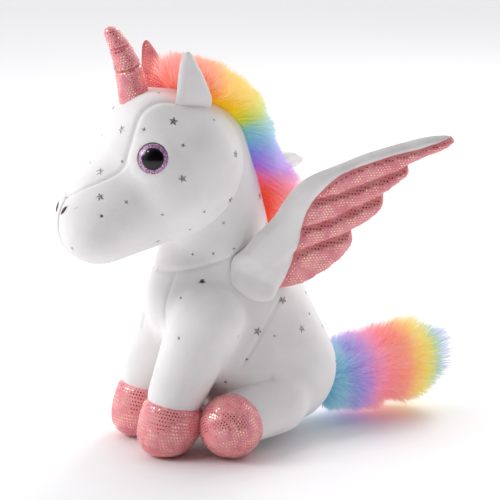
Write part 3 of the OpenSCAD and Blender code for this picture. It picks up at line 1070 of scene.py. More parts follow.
horn = stuffed(turned("horn", horn_point, 90, 64), "foil_dot_pink", coral_knit)
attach(horn, "horn")
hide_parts("horn_cover")
horn_fill = stuffed(turned("horn_fill", inside_horn, 40, 32), "stuffing", fibre_fill)
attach(horn_fill, "horn")
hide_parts("horn_stuffing")
horn_spots = honeycomb(horn_point, DOT_PITCH, 0.15, 0.985)
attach(foil_dots("horn_dots", horn_spots, UPRIGHT, 5), "horn")


def winding(name, pinch, turns=2.0, thread_r=0.28, steps=120, around=6):
    """Thread wound round the horn where it is pulled in"""
    def thread_point(along, round_):
        share = (pinch + 0.16) / 1.16 + (along - 0.5) * 0.022
        turn = along * turns
        place = horn_point(share, turn)
        ahead = (horn_point(share, turn + 0.01) - place).normalized()
        out = (place - horn_root - horn_way * horn_way.dot(place - horn_root)).normalized()
        side = ahead.cross(out)
        angle = math.tau * round_
        return place + (out * (math.cos(angle) + 0.4) + side * math.sin(angle)) * thread_r * MM
    return turned(name, thread_point, steps, around)


threads = [winding(f"horn_thread_{index}", pinch) for index, pinch in enumerate(pinches, 1)]
for thread in threads:
    thread.data.materials.append(coral_thread)
    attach(thread, "horn")
    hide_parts("horn_thread")

# %% [markdown]
# A safety eye is a shallow acrylic dome, clear over a printed disc. Its look is a pattern
# on the dome's own map, whose middle is the eye's: a black pupil set a little off centre,
# a glitter ring, and a dark rim. A clear coat gives the hard shine.

# %% Eyes
def make_eye_finish():
    material, tree, shader, where = new_material("acrylic_safety_eye")
    spot = add_node(tree, "ShaderNodeUVMap", uv_map="dome").outputs[0]
    flakes = add_node(tree, "ShaderNodeTexVoronoi", {"Vector": spot, "Scale": 26.0})
    tone = add_node(tree, "ShaderNodeSeparateColor", {0: flakes.outputs["Color"]})
    mauve = ramp(tree, tone.outputs[0],
                 [(0.05, "56295C"), (0.4, "96598F"), (0.75, "C48FC0"), (0.97, "F6DEF4")])

    def rings(center, stops):
        return ramp(tree, vector_math(tree, "DISTANCE", spot, center, output="Value"), stops)

    pupil = rings((0.06, -0.05, 0), [(0.66, "FFFFFF"), (0.70, "000000")])
    rim = rings((0.05, -0.05, 0), [(0.90, "000000"), (0.96, "FFFFFF")])
    colour = mixed(tree, maths(tree, "MAXIMUM", pupil, rim), mauve, linear("08060C"))
    tree.links.new(colour, shader.inputs["Base Color"])
    set_shader(shader, Metallic=0.3, Roughness=0.3, Specular_IOR_Level=0.2,
               Coat_Weight=0.7, Coat_Roughness=0.02)
    return material


eye_finish = make_eye_finish()
dome_h = 5.0


def dome_point(center, way, side):
    right = Vector((0, 0, 1)).cross(way).normalized() * side
    top = way.cross(right) * side
    ball = (eye_r / MM) ** 2 / (2 * dome_h) + dome_h / 2

    def point_at(along, round_):
        if along < 0.2:
            radius, height = 11 * along / 0.2, -1.5
        elif along < 0.3:
            radius = 11 + 0.35 * math.sin(math.pi * (along - 0.2) * 10)
            height = -1.5 + 15 * (along - 0.2)
        else:
            tilt = math.asin(11 / ball) * (1 - (along - 0.3) / 0.7)
            radius = ball * math.sin(tilt)
            height = ball * math.cos(tilt) - (ball - dome_h)
        turn = math.tau * round_
        out = right * math.cos(turn) + top * math.sin(turn)
        return center + (way * height + out * radius) * MM
    return point_at, right, top


for side, sign in SIDES.items():
    center, way = mirror_x(eye_back, sign), mirror_x(eye_way, sign)
    point_at, right, top = dome_point(center, way, sign)
    dome = turned(f"eye_{side}_dome", point_at, 48, 72)
    layer = dome.data.uv_layers.new(name="dome")
    for loop in dome.data.loops:
        reach = (dome.data.vertices[loop.vertex_index].co - center) / eye_r
        layer.data[loop.index].uv = (reach.dot(right), reach.dot(top))
    dome.data.materials.append(eye_finish)
    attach(dome, "head")
    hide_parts(f"eye_{side}_lens", f"eye_{side}_iris")

# %% [markdown]
# Flat stuffed shapes, the ears and wings, are drawn on a grid that fits their outline. Two
# sheets of the same grid bulge away from each other: the bulge is 0 at the outline, where
# the sheets are sewn, and dips again at every line of quilting.

# %% Flat stuffed shapes
def rounded(points, per_span=5):
    """Smooth curve through points, by Catmull and Rom's rule"""
    spots = [Vector((*point, 0)).to_2d() for point in points]
    spots = [2 * spots[0] - spots[1]] + spots + [2 * spots[-1] - spots[-2]]
    curve = []
    for a, b, c, d in zip(spots, spots[1:], spots[2:], spots[3:]):
        for step in range(per_span):
            t = step / per_span
            curve.append(0.5 * (2 * b + (c - a) * t + (2 * a - 5 * b + 4 * c - d) * t * t
                                + (3 * b - 3 * c + d - a) * t ** 3))
    return curve + [spots[-2]]


def inside(point, outline):
    odd = False
    for a, b in zip(outline, outline[1:] + outline[:1]):
        if (a.y > point.y) != (b.y > point.y):
            if point.x < (b.x - a.x) * (point.y - a.y) / (b.y - a.y) + a.x:
                odd = not odd
    return odd


def line_distance(point, line):
    nearest = 1e9
    for a, b in zip(line, line[1:]):
        span = b - a
        t = min(max((point - a).dot(span) / max(span.length_squared, 1e-12), 0), 1)
        nearest = min(nearest, (point - a - span * t).length)
    return nearest


def flat_middle(points, face):
    return sum((points[i] for i in face), Vector((0, 0))) / 3


def flat_grid(outline, lines, pitch):
    """Triangles that fill the outline and keep an edge along every line"""
    points, edges = [], []
    for line, closed in [(outline, True)] + [(line, False) for line in lines]:
        start = len(points)
        points += line
        edges += [(start + i, start + i + 1) for i in range(len(line) - 1)]
        if closed:
            edges.append((start + len(line) - 1, start))
    low = Vector((min(p.x for p in outline), min(p.y for p in outline)))
    high = Vector((max(p.x for p in outline), max(p.y for p in outline)))
    closed_outline = outline + outline[:1]
    rows = int((high.y - low.y) / (pitch * 0.866)) + 1
    for row in range(rows):
        for column in range(int((high.x - low.x) / pitch) + 1):
            spot = low + Vector(((column + 0.5 * (row % 2)) * pitch, row * pitch * 0.866))
            borders = [closed_outline] + lines
            clear = all(line_distance(spot, line) > pitch * 0.5 for line in borders)
            if clear and inside(spot, outline):
                points.append(spot)
    found, _, faces, *_ = delaunay_2d_cdt(points, edges, [], 1, 1e-4)
    return found, [face for face in faces if inside(flat_middle(found, face), outline)]


def bulge(distance, reach, height):
    t = min(distance / reach, 1.0)
    return height * math.sqrt(max(1 - (1 - t) ** 2, 0.0))


def sheet_piece(name, found, faces, place, flip):
    used = sorted({i for face in faces for i in face})
    new = {old: index for index, old in enumerate(used)}
    faces = [tuple(new[i] for i in (reversed(face) if flip else face)) for face in faces]
    mesh = bpy.data.meshes.new(name)
    mesh.from_pydata([place(found[i]) for i in used], [], faces)
    mesh.shade_smooth()
    return new_object(name, mesh)


# %% [markdown]
# The ears are cupped leaves, white velboa outside and foil-dot cloth inside, leaning out a
# little. Their foot is tucked into the head.

# %% Ears
ear_line = rounded([(13, -11), (13.4, -1), (8, 11), (2, 22), (-3.2, 30.5), (-7.2, 34.6),
                    (-10.8, 31.5), (-12.6, 22), (-13.2, 10), (-13.4, -1), (-13, -11)])
ear_edge = ear_line + ear_line[:1]
ear_points, ear_faces = flat_grid(ear_line, [], 1.5)
ear_lean_out = math.radians(9)
EAR_BULGE = 2.0


def ear_place(side, inner, lift=0.0):
    """Where a point of the flat ear is, on its outer or inner sheet"""
    out = Vector((math.cos(ear_lean_out), 0, -math.sin(ear_lean_out)))
    up = Vector((math.sin(ear_lean_out), 0, math.cos(ear_lean_out)))

    def place(spot):
        thick = bulge(line_distance(spot, ear_edge), 5, EAR_BULGE)
        cup = 3.0 * (1 - (spot.x / 13.5) ** 2) * smoothstep(spot.y, -4, 12)
        sheet = -(thick * 0.5 + lift) if inner else thick + lift
        depth = cup * 0.8 + sheet - 3.5 * smoothstep(spot.y, 3, -11)
        point = out * depth + Vector((0, 1, 0)) * spot.x + up * spot.y
        return mirror_x(ear_root + point * MM, side)
    return place


def flat_honeycomb(outline, pitch, turn, keep):
    """Honeycomb of spots, pitch apart and turned by an angle, that keep accepts"""
    axis = Vector((math.cos(turn), math.sin(turn)))
    cross = Vector((-axis.y, axis.x))
    reach = int(max(p.length for p in outline) / pitch) + 2
    spots = []
    for row in range(-reach, reach):
        for column in range(-reach, reach):
            spot = (axis * (column + 0.5 * (row % 2)) + cross * row * 0.866) * pitch
            if keep(spot):
                spots.append(spot)
    return spots


def dots_on(spots, place):
    """Dots on a bulging sheet, each facing the way that the sheet does there"""
    dots = []
    step = 0.3
    for spot in spots:
        here = place(spot)
        along, up = place(spot + Vector((step, 0))) - here, place(spot + Vector((0, step))) - here
        dots.append((here, along.cross(up).normalized()))
    return dots


def in_lining(spot):
    return spot.y > 1 and inside(spot, ear_line) and line_distance(spot, ear_edge) > 1.2


for side, sign in SIDES.items():
    outer_at, inner_at = ear_place(sign, False), ear_place(sign, True)
    outer = sheet_piece(f"ear_{side}_outer", ear_points, ear_faces, outer_at, sign < 0)
    inner = sheet_piece(f"ear_{side}_inner", ear_points, ear_faces, inner_at, sign > 0)
    stuffed(outer, "plush_white", velboa)
    stuffed(inner, "foil_dot_pink", coral_knit)
    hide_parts(f"ear_{side}_back")
    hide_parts(f"ear_{side}_lining")
    spots = flat_honeycomb(ear_line, DOT_PITCH, 0.3, in_lining)
    dots = [(place, -face * sign) for place, face in dots_on(spots, ear_place(sign, True, 0.05))]
    for piece in (outer, inner, foil_dots(f"ear_{side}_dots", dots, UPRIGHT, 7, lift=0)):
        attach(piece, f"ear_{side}")

# %% [markdown]
# A wing is drawn flat, along its root and up its arm, and then stood up at its joint. The
# white arm runs up the front edge and ends below in a rounded tab that is sewn to the
# body's side; the coral feathers have four lobes, parted by quilting. The back is white.

# %% Wing outlines
arm_front = [(-22, 6), (-20.5, 18), (-20, 30), (-17.5, 45), (-19, 62), (-18.5, 74),
             (-14.5, 86), (-4, 101), (10, 121), (34, 148), (46, 158), (53, 161.5)]
arm_behind = [(38, 143), (24, 128), (6, 105), (-1, 90), (-2, 64), (9, 40), (15, 22), (20, 6)]
arm_tab = [(20, 6), (19, -4), (10, -10.5), (-2, -11.5), (-14, -7), (-22, 6)]
feather_lobes = [[(53, 161.5), (57.5, 159), (54, 150), (46, 138), (40, 128)],
                 [(40, 128), (44.5, 123), (42, 112), (39, 102)],
                 [(39, 102), (44.5, 94), (43, 82), (37, 68)],
                 [(37, 68), (44, 60), (44, 46), (39, 30), (30, 14), (20, 6)]]
quilting = [[(-2.5, 72.5), (9, 84), (21, 101), (30, 113), (40, 128)],
            [(4, 51.5), (17, 66), (25, 80), (33, 92.5), (39, 102)],
            [(11.5, 32), (20, 45.5), (29.5, 58), (37, 68)]]
arm_curve = rounded(arm_front)
lobe_curve = [point for lobe in feather_lobes for point in rounded(lobe)[:-1]]
tab_curve = rounded(arm_tab)
wing_line = arm_curve[:-1] + lobe_curve + tab_curve[:-1]
arm_seam = rounded([(53, 161.5)] + arm_behind)
quilt_curves = [rounded(line) for line in quilting]
arm_line = arm_curve[:-1] + arm_seam[:-1] + tab_curve[:-1]
wing_edge = wing_line + wing_line[:1]
wing_points, wing_faces = flat_grid(wing_line, [arm_seam] + quilt_curves, 2.4)
arm_faces, feather_faces = [], []
for face in wing_faces:
    on_arm = inside(flat_middle(wing_points, face), arm_line)
    (arm_faces if on_arm else feather_faces).append(face)
print("wing faces:", len(arm_faces), "arm,", len(feather_faces), "feathers")

# %% Wings
wing_tilt = {"left": math.radians(18), "right": math.radians(40)}
WING_HALF = 6.2


def wing_half_thickness(spot):
    edge = line_distance(spot, wing_edge)
    thick = bulge(edge, 9, WING_HALF)
    seam = line_distance(spot, arm_seam)
    thick *= 0.55 + 0.45 * bulge(seam, 5, 1.0)
    for line in quilt_curves:
        thick *= 0.3 + 0.7 * bulge(line_distance(spot, line), 7, 1.0)
    crinkle = noise.noise(Vector((spot.x * 0.16, spot.y * 0.07, 3.0))) * 0.9
    return thick * (1 + 0.16 * crinkle)


def wing_place(side, front, share=1.0, lift=0.0):
    joint = joints[f"wing_{side}_flap"]
    root = Vector(joint["pos_m"])
    sign = SIDES[side]
    axis = Vector(joint["axis"]).normalized() * sign
    tilt = wing_tilt[side]
    upward = Vector((1, 0, 0)).cross(axis)
    if upward.z < 0:
        upward = -upward
    arm_up = upward * math.cos(tilt) + Vector((sign * math.sin(tilt), 0, 0))
    out = axis.cross(arm_up) * sign

    def place(spot):
        thick = wing_half_thickness(spot) * share + lift
        flat = root + (axis * spot.x + arm_up * spot.y) * MM
        free = flat + out * (thick if front else -thick) * MM
        held = smoothstep(spot.y, 16, -1)
        if held > 0:
            near, normal, _, _ = body_tree.find_nearest(flat + out * 4 * MM)
            on_body = near + normal * (thick * 0.62 + 0.25 if front else -0.6) * MM
            return free.lerp(on_body, held)
        return free
    return place, root, arm_up


def follow_wing(piece, side, root, arm_up):
    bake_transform(piece)


def make_stitch(thread_r=0.19, around=5):
    """One thread of unit half length along x, thinner where it dives into the cloth"""
    turns = [math.tau * k / around for k in range(around)]
    points = [(x, thread_r * math.cos(turn) * swell, thread_r * math.sin(turn) * swell)
              for x, swell in ((-1.0, 0.3), (-0.6, 1), (0.6, 1), (1.0, 0.3)) for turn in turns]
    faces = []
    for low in (0, 5, 10):
        for k in range(around):
            n = (k + 1) % around
            faces.append((low + k, low + n, low + around + n, low + around + k))
    ends = [(4, 3, 2, 1, 0), (15, 16, 17, 18, 19)]
    return small_piece("stitch", points, faces + ends, smooth=True)


stitch = make_stitch()


def stitches_along(line, place, pitch=2.7):
    """A stitch every pitch along a flat line, laid on a bulging sheet"""
    walked, found = pitch / 2, []
    for a, b in zip(line, line[1:]):
        span = b - a
        while walked < span.length:
            spot = a + span.normalized() * walked
            here, face = dots_on([spot], place)[0]
            ahead = place(spot + span.normalized() * 0.4) - here
            found.append((here, face, ahead.normalized()))
            walked += pitch
        walked -= span.length
    return found


def on_feathers(spot):
    on_coral = inside(spot, wing_line) and not inside(spot, arm_line)
    return on_coral and line_distance(spot, wing_edge) > 1.1 and line_distance(spot, arm_seam) > 0.9


dot_spots = flat_honeycomb(wing_line, 2.25, 0.62, on_feathers)
for side, sign in SIDES.items():
    front, root, arm_up = wing_place(side, True)
    rear, _, _ = wing_place(side, False)
    pieces = []
    for part, panel, faces, at, flip, slot, cloth in (
        ("arm", "arm_panel", arm_faces, front, sign < 0, "plush_white", velboa),
        ("feathers", "feather_panel", feather_faces, front, sign < 0, "foil_dot_pink", coral_knit),
        ("back", "back_panel", wing_faces, rear, sign > 0, "plush_white", velboa),
    ):
        piece = sheet_piece(f"wing_{side}_{panel}", wing_points, faces, at, flip)
        stuffed(piece, slot, cloth)
        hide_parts(f"wing_{side}_{part}")
        pieces.append(piece)
    core_front, _, _ = wing_place(side, True, 0.8)
    core_rear, _, _ = wing_place(side, False, 0.8)
    core = sheet_piece(f"wing_{side}_fill", wing_points, wing_faces, core_front, sign < 0)
    core_back = sheet_piece("core_back", wing_points, wing_faces, core_rear, sign > 0)
    both = bmesh.new()
    both.from_mesh(core.data)
    both.from_mesh(core_back.data)
    bmesh.ops.remove_doubles(both, verts=both.verts, dist=0.00001)
    both.to_mesh(core.data)
    both.free()
    bpy.data.objects.remove(core_back)
    stuffed(core, "stuffing", fibre_fill)
    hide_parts(f"wing_{side}_filling")
    over, _, _ = wing_place(side, True, 1.0, 0.06)
    dots = [(place, face * sign) for place, face in dots_on(dot_spots, over)]
    stitched = [(place, face * sign, ahead, 1.0)
                for line in quilt_curves for place, face, ahead in stitches_along(line, over)]
    pieces += [
        core, foil_dots(f"wing_{side}_dots", dots, arm_up, 11, lift=0),
        set_pieces(f"wing_{side}_stitches", stitched, stitch, coral_thread),
    ]
    for piece in pieces:
        follow_wing(piece, side, root, arm_up)

# %% [markdown]
# The nostrils are satin-stitched leaves: threads laid side by side, longest in the middle.

# %% Nostrils
nostril_mid = mm(6.5, -152, 177)
nostril_long, nostril_wide = 9.0, 3.4


def nostril_stitches(side):
    near, face, _, _ = head_tree.find_nearest(mirror_x(nostril_mid, side))
    lean = Matrix.Rotation(math.radians(-36 * side), 3, face)
    down = lean @ (Vector((0, 0, -1)) - face * -face.z).normalized()
    across = face.cross(down)
    rows = 19
    found = []
    for row in range(rows):
        share = (row + 0.5) / rows
        width = nostril_wide * math.sin(math.pi * share) ** 0.8
        spot, normal, _, _ = head_tree.find_nearest(near + down * (share - 0.5) * nostril_long * MM)
        found.append((spot + normal * 0.12 * MM, normal, across, max(width / 2, 0.4)))
    return found


for side, sign in SIDES.items():
    nostril = set_pieces(f"nostril_{side}_satin", nostril_stitches(sign), stitch, brown_rayon)
    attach(nostril, "head")
    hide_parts(f"nostril_{side}")

# %% [markdown]
# Faux fur is a woven strip with long fibres standing in it. A Geometry Nodes tree grows it:
# points are scattered on the strip, each gets a thin tapered ribbon, and every ribbon leans
# with the strip's nap. Slow noise makes neighbours lean together, which is what gathers
# real pile into locks; quick noise lets single hairs stray.

# %% A tree that grows pile
def make_pile_tree():
    tree, given = new_tree("grow_pile", Hairs_per_square_metre="Float", Hair_width="Float",
                           Lock_lean="Float", Stray_lean="Float", Seed="Int", Finish="Material")

    def vec(operation, *values, scale=None):
        return vector_math(tree, operation, *values, scale=scale)

    def times(a, b):
        return maths(tree, "MULTIPLY", a, b)

    def stored(geometry, name, kind, value):
        values = {"Geometry": geometry, "Name": name, "Value": value}
        return add_node(tree, "GeometryNodeStoreNamedAttribute", values, data_type=kind).outputs[0]

    def noise_at(place, size_mm):
        """Colour of noise about a middle of 0, used as a direction"""
        colour = grain(tree, place, size_mm, 1.0).outputs["Color"]
        return vec("SUBTRACT", colour, (0.5, 0.5, 0.5))

    # points on the strip, each with its place, its facing and three random numbers
    spots = add_node(tree, "GeometryNodeDistributePointsOnFaces", {
        "Mesh": given["Geometry"], "Density": given["Hairs per square metre"],
        "Seed": given["Seed"],
    })
    place = add_node(tree, "GeometryNodeInputPosition").outputs[0]
    luck = add_node(tree, "FunctionNodeRandomValue",
                    {0: (-1, -1, -1), 1: (1, 1, 1), "Seed": given["Seed"]},
                    data_type="FLOAT_VECTOR").outputs[0]
    points = stored(spots.outputs["Points"], "root", "FLOAT_VECTOR", place)
    points = stored(points, "outward", "FLOAT_VECTOR", spots.outputs["Normal"])
    points = stored(points, "luck", "FLOAT_VECTOR", luck)

    # a flat ribbon on each point, that knows how far along and across it is
    ribbon = add_node(tree, "GeometryNodeMeshGrid",
                      {"Size X": 1.0, "Size Y": 1.0, "Vertices X": 2, "Vertices Y": 6})
    flat = add_node(tree, "ShaderNodeSeparateXYZ", {0: place})
    from_root = maths(tree, "ADD", flat.outputs["Y"], 0.5)
    strip = stored(ribbon.outputs["Mesh"], "along", "FLOAT", from_root)
    strip = stored(strip, "across", "FLOAT", flat.outputs["X"])
    hairs = add_node(tree, "GeometryNodeInstanceOnPoints", {"Points": points, "Instance": strip})
    hairs = add_node(tree, "GeometryNodeRealizeInstances", {0: hairs.outputs[0]}).outputs[0]

    # every ribbon bends from its own way out to the comb's way, in locks, and waves a little
    root, outward, luck, comb = (
        named(tree, name, "FLOAT_VECTOR") for name in ("root", "outward", "luck", "comb"))
    pile, along, across = (named(tree, name, "FLOAT") for name in ("pile", "along", "across"))
    stray_lean = vec("SCALE", luck, scale=given["Stray lean"])
    start_way = vec("NORMALIZE", vec("ADD", outward, stray_lean))
    bend = vec("ADD", comb, vec("SCALE", noise_at(root, 11), scale=given["Lock lean"]))
    luck_length = vector_math(tree, "LENGTH", luck, output="Value")
    length = times(pile, maths(tree, "ADD", 0.86, times(luck_length, 0.16)))
    way = vec("ADD", vec("SCALE", start_way, scale=along),
              vec("SCALE", bend, scale=maths(tree, "POWER", along, 1.6)))
    waving = vec("ADD", root, vec("SCALE", outward, scale=times(along, 12 * MM)))
    wave = vec("SCALE", noise_at(waving, 5), scale=times(along, 0.35))
    middle = vec("ADD", root, vec("SCALE", vec("ADD", way, wave), scale=length))

    # and it tapers to its tip
    side = vec("NORMALIZE", vec("CROSS_PRODUCT", start_way, luck))
    taper = maths(tree, "SUBTRACT", 1.0, times(maths(tree, "POWER", along, 2.0), 0.85))
    width = times(times(across, given["Hair width"]), taper)
    moved = add_node(tree, "GeometryNodeSetPosition", {
        "Geometry": hairs, "Position": vec("ADD", middle, vec("SCALE", side, scale=width)),
    })
    smooth = add_node(tree, "GeometryNodeSetShadeSmooth", {0: moved.outputs[0]})
    finish = add_node(tree, "GeometryNodeSetMaterial",
                      {0: smooth.outputs[0], "Material": given["Finish"]})
    add_node(tree, "NodeGroupOutput", {0: finish.outputs[0]})
    return tree


pile_tree = make_pile_tree()
HAIR_WIDTH = 0.75 * MM
FLOOR_GAP = 0.6 * MM


def grow_pile(name, strip, hairs, finish, seed, lock_lean=0.9, stray_lean=0.42):
    """Grow about this many hairs on a copy of a strip that knows its comb and pile"""
    item = new_object(name, strip.data.copy())
    area = sum(face.area for face in item.data.polygons)
    modifier = item.modifiers.new("grow", "NODES")
    modifier.node_group = pile_tree
    give_inputs(modifier, pile_tree, Hairs_per_square_metre=hairs / area, Hair_width=HAIR_WIDTH,
                Lock_lean=lock_lean, Stray_lean=stray_lean, Seed=seed, Finish=finish)
    finished(item)
    for attribute in ("root", "outward", "luck", "comb", "pile", "across"):
        found = item.data.attributes.get(attribute)
        if found:
            item.data.attributes.remove(found)
    for vertex in item.data.vertices:
        if vertex.co.z < FLOOR_GAP * 4:
            vertex.co.z = FLOOR_GAP + max(vertex.co.z + 12 * MM, 0) * 0.12
    print(name, len(item.data.polygons) * 2, "triangles")
    return item


def pile_strip(name, rows, closed):
    """Woven strip from rows of (place, comb, pile)"""
    across = len(rows[0])
    points = [place for row in rows for place, _, _ in row]
    faces = []
    for r in range(len(rows) - 1):
        for c in range(across if closed else across - 1):
            d = (c + 1) % across
            low, high = r * across, (r + 1) * across
            faces.append((low + c, low + d, high + d, high + c))
    mesh = bpy.data.meshes.new(name)
    mesh.from_pydata(points, [], faces)
    mesh.attributes.new("comb", "FLOAT_VECTOR", "POINT")
    mesh.attributes.new("pile", "FLOAT", "POINT")
    combed, length = mesh.attributes["comb"].data, mesh.attributes["pile"].data
    for index, (_, way, pile) in enumerate(entry for row in rows for entry in row):
        combed[index].vector = way
        length[index].value = pile
    mesh.shade_smooth()
    return new_object(name, mesh)


# %% [markdown]
# The mane's strip lies on the head and neck, from the crown between the ears to a point at
# the nape. Each place on it is found by a ray shot inwards at the skin, so it fits whatever
# the skin does. It is two strips: the upper one, on the crown, is attached to the head, and
# the lower one lies on the nape.

# %% Mane
mane_middle = Vector((0, *mane_turn_center))
mane_first_root, mane_last_root = math.radians(98), math.radians(-38)
mane_split = math.radians(4)
MANE_HALF = 11.5


def mane_row(angle):
    out = Vector((0, math.cos(angle), math.sin(angle)))
    ahead = Vector((0, math.sin(angle), -math.cos(angle)))
    share = (mane_first_root - angle) / (mane_first_root - mane_last_root)
    rounded_start = smoothstep(share, -0.03, 0.07) * 0.75 + 0.25
    half = MANE_HALF * rounded_start * (1 - 0.8 * smoothstep(share, 0.72, 1.0))
    pile = 21 - 3 * smoothstep(share, 0.3, 0.5) + 8 * smoothstep(share, 0.6, 0.8)
    pile *= (1 - 0.5 * smoothstep(share, 0.86, 1.0)) * MM
    nap = 0.3 * smoothstep(share, 0.05, 0.35) - 0.12 * smoothstep(share, 0.75, 1.0)
    row = []
    for step in range(9):
        aside = step / 4 - 1
        x = aside * half * MM
        start = mane_middle + out * 150 * MM + Vector((x, 0, 0))
        hits = [tree.ray_cast(start, -out)[0] for tree in (head_tree, body_tree)]
        place = max((hit for hit in hits if hit), key=lambda hit: (hit - mane_middle).dot(out))
        lift = out * (2.5 * (1 - aside ** 2) + 0.3) * MM
        comb = ahead * nap + Vector((x / MM / MANE_HALF * 0.2, 0, 0))
        row.append((place + lift, comb, pile))
    return row



def mane_rows(first, last, steps):
    return [mane_row(first + (last - first) * step / steps) for step in range(steps + 1)]


crown = pile_strip("mane_backing", mane_rows(mane_first_root, mane_split, 40), False)
nape = pile_strip("mane_nape_backing", mane_rows(mane_split, mane_last_root, 16), False)
for name, hairs, seed in (("mane_front_pile", 9500, 21), ("mane_crown_pile", 9500, 22)):
    pile = grow_pile(name, crown, hairs, mane_pile, seed)
    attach(pile, "head")
    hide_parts("mane_head_fur")
pile = grow_pile("mane_nape_pile", nape, 8500, mane_pile, 23)
follow_neck(pile)
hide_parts("mane_neck_fur")
for strip in (crown, nape):
    strip.data.materials.append(mane_pile)
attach(crown, "head")
follow_neck(nape)

# %% [markdown]
# The tail is a stuffed tube wrapped in the same fur. Its hairs stand out from the tube and
# sweep back, more so towards the end, which rounds it off.

# %% Tail
tail_rise = math.radians(6)
tail_way = Vector((0, math.cos(tail_rise), math.sin(tail_rise)))
tail_up = Vector((0, -math.sin(tail_rise), math.cos(tail_rise)))
TAIL_CORE = 74


def tail_row(share):
    radius = 11 * math.sqrt(max(1 - max((share - 0.75) / 0.25, 0) ** 2 * 0.97, 0.0))
    radius *= 0.8 + 0.2 * smoothstep(share, 0.0, 0.2)
    sweep = tail_way * (0.35 + 0.45 * share)
    pile = (17 + 5 * smoothstep(share, 0.0, 0.3)) * MM
    middle = tail_root + tail_way * (3 + TAIL_CORE * share) * MM
    row = []
    for step in range(16):
        turn = math.tau * step / 16
        out = Vector((1, 0, 0)) * math.cos(turn) + tail_up * math.sin(turn)
        row.append((middle + out * radius * MM, sweep, pile * (0.86 + 0.14 * out.z)))
    return row


tail_strip = pile_strip("tail_backing", [tail_row(step / 26) for step in range(27)], True)
shape = bmesh.new()
shape.from_mesh(tail_strip.data)
bmesh.ops.recalc_face_normals(shape, faces=shape.faces)
tail_middle = tail_root + tail_way * TAIL_CORE / 2 * MM
if sum(face.normal.dot(face.calc_center_median() - tail_middle) for face in shape.faces) < 0:
    bmesh.ops.reverse_faces(shape, faces=shape.faces)
shape.to_mesh(tail_strip.data)
shape.free()


def follow_tail(piece):
    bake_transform(piece)


for name, hairs, seed in (("tail_pile_1", 9500, 31), ("tail_pile_2", 9500, 32)):
    pile = grow_pile(name, tail_strip, hairs, tail_pile, seed, 1.1, 0.45)
    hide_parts("tail_fur")
    follow_tail(pile)
tail_strip.data.materials.append(tail_pile)
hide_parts("tail_core")
follow_tail(tail_strip)

# %% [markdown]
# The velboa is printed with scattered silver foil: five-pointed stars 6 mm across, round
# spots and small four-pointed sparks. Each is a thin raised patch set on the skin.

# %% Foil prints
PRINT_GAP = 15 * MM
star = raised_shape("star", ring_outline(10, 3.4, 1.5), 0.12, inset=0.9)
spark = raised_shape("spark", ring_outline(8, 1.7, 0.6), 0.12)
spot = raised_shape("spot", ring_outline(12, 1.1), 0.12)
CHOSEN = {
    "head": [
        (star, -85, 238), (star, -133, 188), (spark, -104, 233), (spark, -118, 185),
        (spark, -117, 211), (star, -84, 201), (spot, -134, 176), (spark, -72, 162),
        (spark, -92, 154), (spark, -147, 181),
    ],
    "neck": [(spot, -54, 143), (spark, -40, 146), (spark, -66, 142), (spark, -48, 165)],
    "body": [
        (star, -62, 124), (spark, -48, 120), (spot, -36, 128), (star, -24, 86), (spark, -40, 85),
        (spark, -12, 82), (star, -4, 106), (spark, 35, 79), (spark, 10, 40), (star, -14, 50),
    ],
}


def printed(name, chosen, tree, center, scattered, seed, accepts):
    """Chosen prints on both sides, and more scattered by a fixed seed, clear of each other"""
    luck = random.Random(seed)
    far = 0.3
    found = []

    def lay(kind, place, face):
        heading = Vector([luck.uniform(-1, 1) for _ in range(3)])
        found.append((kind, place + face * DOT_LIFT, face, heading, luck.uniform(0.8, 1.05)))

    for kind, y, z in chosen:
        for side in SIDES.values():
            place, face, _, _ = tree.ray_cast(mm(0, y, z) + Vector((side * far, 0, 0)),
                                              Vector((-side, 0, 0)))
            if place and accepts(place):
                lay(kind, place, face)
    for _ in range(scattered):
        way = Vector([luck.gauss(0, 1) for _ in range(3)]).normalized()
        place, face, _, _ = tree.ray_cast(center + way * far, -way)
        if not place or not accepts(place):
            continue
        if all((place - other[1]).length > PRINT_GAP for other in found):
            lay(luck.choice((star, spark, spark, spot)), place, face)
    pieces = []
    for kind in (star, spark, spot):
        places = [entry[1:] for entry in found if entry[0] is kind]
        if places:
            pieces.append(set_pieces(f"{name}_{kind.name}s", places, kind, silver_print,
                                     0.0, seed))
    return pieces


def outside(tree, p):
    near, face, _, _ = tree.find_nearest(p)
    return (p - near).dot(face) > 0.5 * MM


def on_head(p):
    near_eye = any((p - mirror_x(eye_back, side)).length < 17 * MM for side in SIDES.values())
    under_fur = abs(p.x) < 15 * MM and (p.y > -90 * MM and p.z > 195 * MM or p.y > -30 * MM)
    return outside(body_tree, p) and not (near_eye or under_fur)


def on_body(p):
    high = p.z > 12 * MM and above_neck_seam(p) < -2 * MM
    clear = outside_limb(on_left(p), leg_forms["hind"]) > 4 * MM or p.z > 62 * MM
    near_wing = min((p - pivot(f"wing_{side}_flap")).length for side in SIDES) < 27 * MM
    leg = p.z < front_cut + 3 * MM and front_crease(p) < 3 * MM
    tail = (p - tail_root).length < 22 * MM
    return high and clear and not (near_wing or leg or tail)


def on_neck(p):
    in_band = above_neck_seam(p) > 2 * MM and p.z < 200 * MM
    return in_band and abs(p.x) > 16 * MM and outside(head_tree, p)


for piece in printed("head_prints", CHOSEN["head"], head_tree, skull, 90, 41, on_head):
    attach(piece, "head")
belly_middle = mm(0, -15, 90)
for piece in printed("body_prints", CHOSEN["body"], body_tree, belly_middle, 160, 43, on_body):
    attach(piece, "torso")
for piece in printed("neck_prints", CHOSEN["neck"], body_tree, neck, 40, 44, on_neck):
    follow_neck(piece)

# %% [markdown]
# What stays from the CAD model, the washers and the pouch of pellets, is inside, and only
# needs its finish. The small pieces that the trees copied are no longer needed.

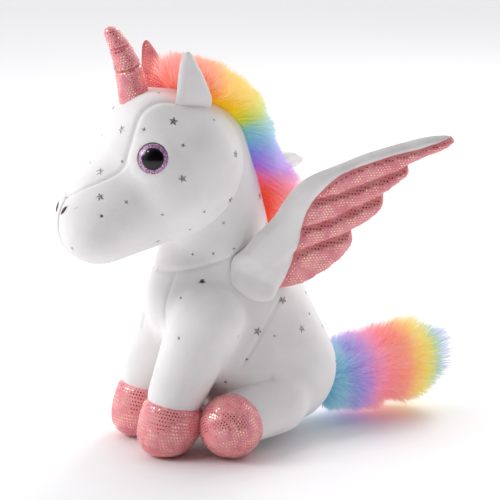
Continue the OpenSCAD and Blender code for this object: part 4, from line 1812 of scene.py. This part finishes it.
# %% Finishes of the kept parts
KEPT = {"eye_left_washer": washer_plastic, "eye_right_washer": washer_plastic,
        "pellet_bag": pouch_lawn}
for name, finish in KEPT.items():
    for slot in frame["nodes"][name].material_slots:
        slot.material = finish
for item in small_pieces:
    bpy.data.objects.remove(item)

# %% [markdown]
# The studio: a pale floor, a bright even surround, a large soft key light from the toy's
# front, and a second light behind it that makes the pile's edges glow. The part of the
# surround behind the camera is dark, as a real studio is, so the foil has something dark
# to mirror. The last light is small: it is placed where each eye mirrors it to the camera.

# %% Studio
floor_mesh = bpy.data.meshes.new("floor")
floor_mesh.from_pydata([(-8, -8, 0), (8, -8, 0), (8, 8, 0), (-8, 8, 0)], [], [(0, 1, 2, 3)])
floor = new_object("floor", floor_mesh)
paper, tree, shader, where = new_material("studio_paper")
set_shader(shader, Base_Color=linear("FBFBFC"), Roughness=0.6)
floor.data.materials.append(paper)

world = bpy.data.worlds.new("studio")
bpy.context.scene.world = world
world.use_nodes = True
sky = world.node_tree
look = add_node(sky, "ShaderNodeTexCoord").outputs["Generated"]
toward = vector_math(sky, "DOT_PRODUCT", look, tuple(to_camera), output="Value")
half_turn = add_node(sky, "ShaderNodeMapRange", {"Value": toward, "From Min": -1.0})
shade = ramp(sky, half_turn.outputs[0],
             [(0.45, "FFFFFF"), (0.7, "ACACB0"), (0.8, "9A9698"), (0.89, "241C20")])
background = sky.nodes["Background"]
sky.links.new(shade, background.inputs["Color"])
background.inputs["Strength"].default_value = 1.28


def softbox(name, place, size, power):
    light = bpy.data.lights.new(name, "AREA")
    light.shape = "DISK"
    light.size = size
    light.energy = power
    item = bpy.data.objects.new(name, light)
    item.location = place
    item.rotation_euler = (Vector(place) - look_at).to_track_quat("Z", "Y").to_euler()
    bpy.context.scene.collection.objects.link(item)


softbox("key", (-0.5, -1.8, 1.2), 0.9, 14)
softbox("back", (-0.9, 1.3, 1.5), 0.9, 14)
eye_face = eye_way + (Vector((0, 0, 0.42)) - to_camera.cross(Vector((0, 0, 1))) * -0.26)
eye_face.normalize()
mirrored = eye_face * 2 * eye_face.dot(to_camera) - to_camera
softbox("eye_glint", tuple(eye_back + mirrored * 1.2), 0.16, 1.1)
bpy.context.scene.view_settings.view_transform = "Standard"
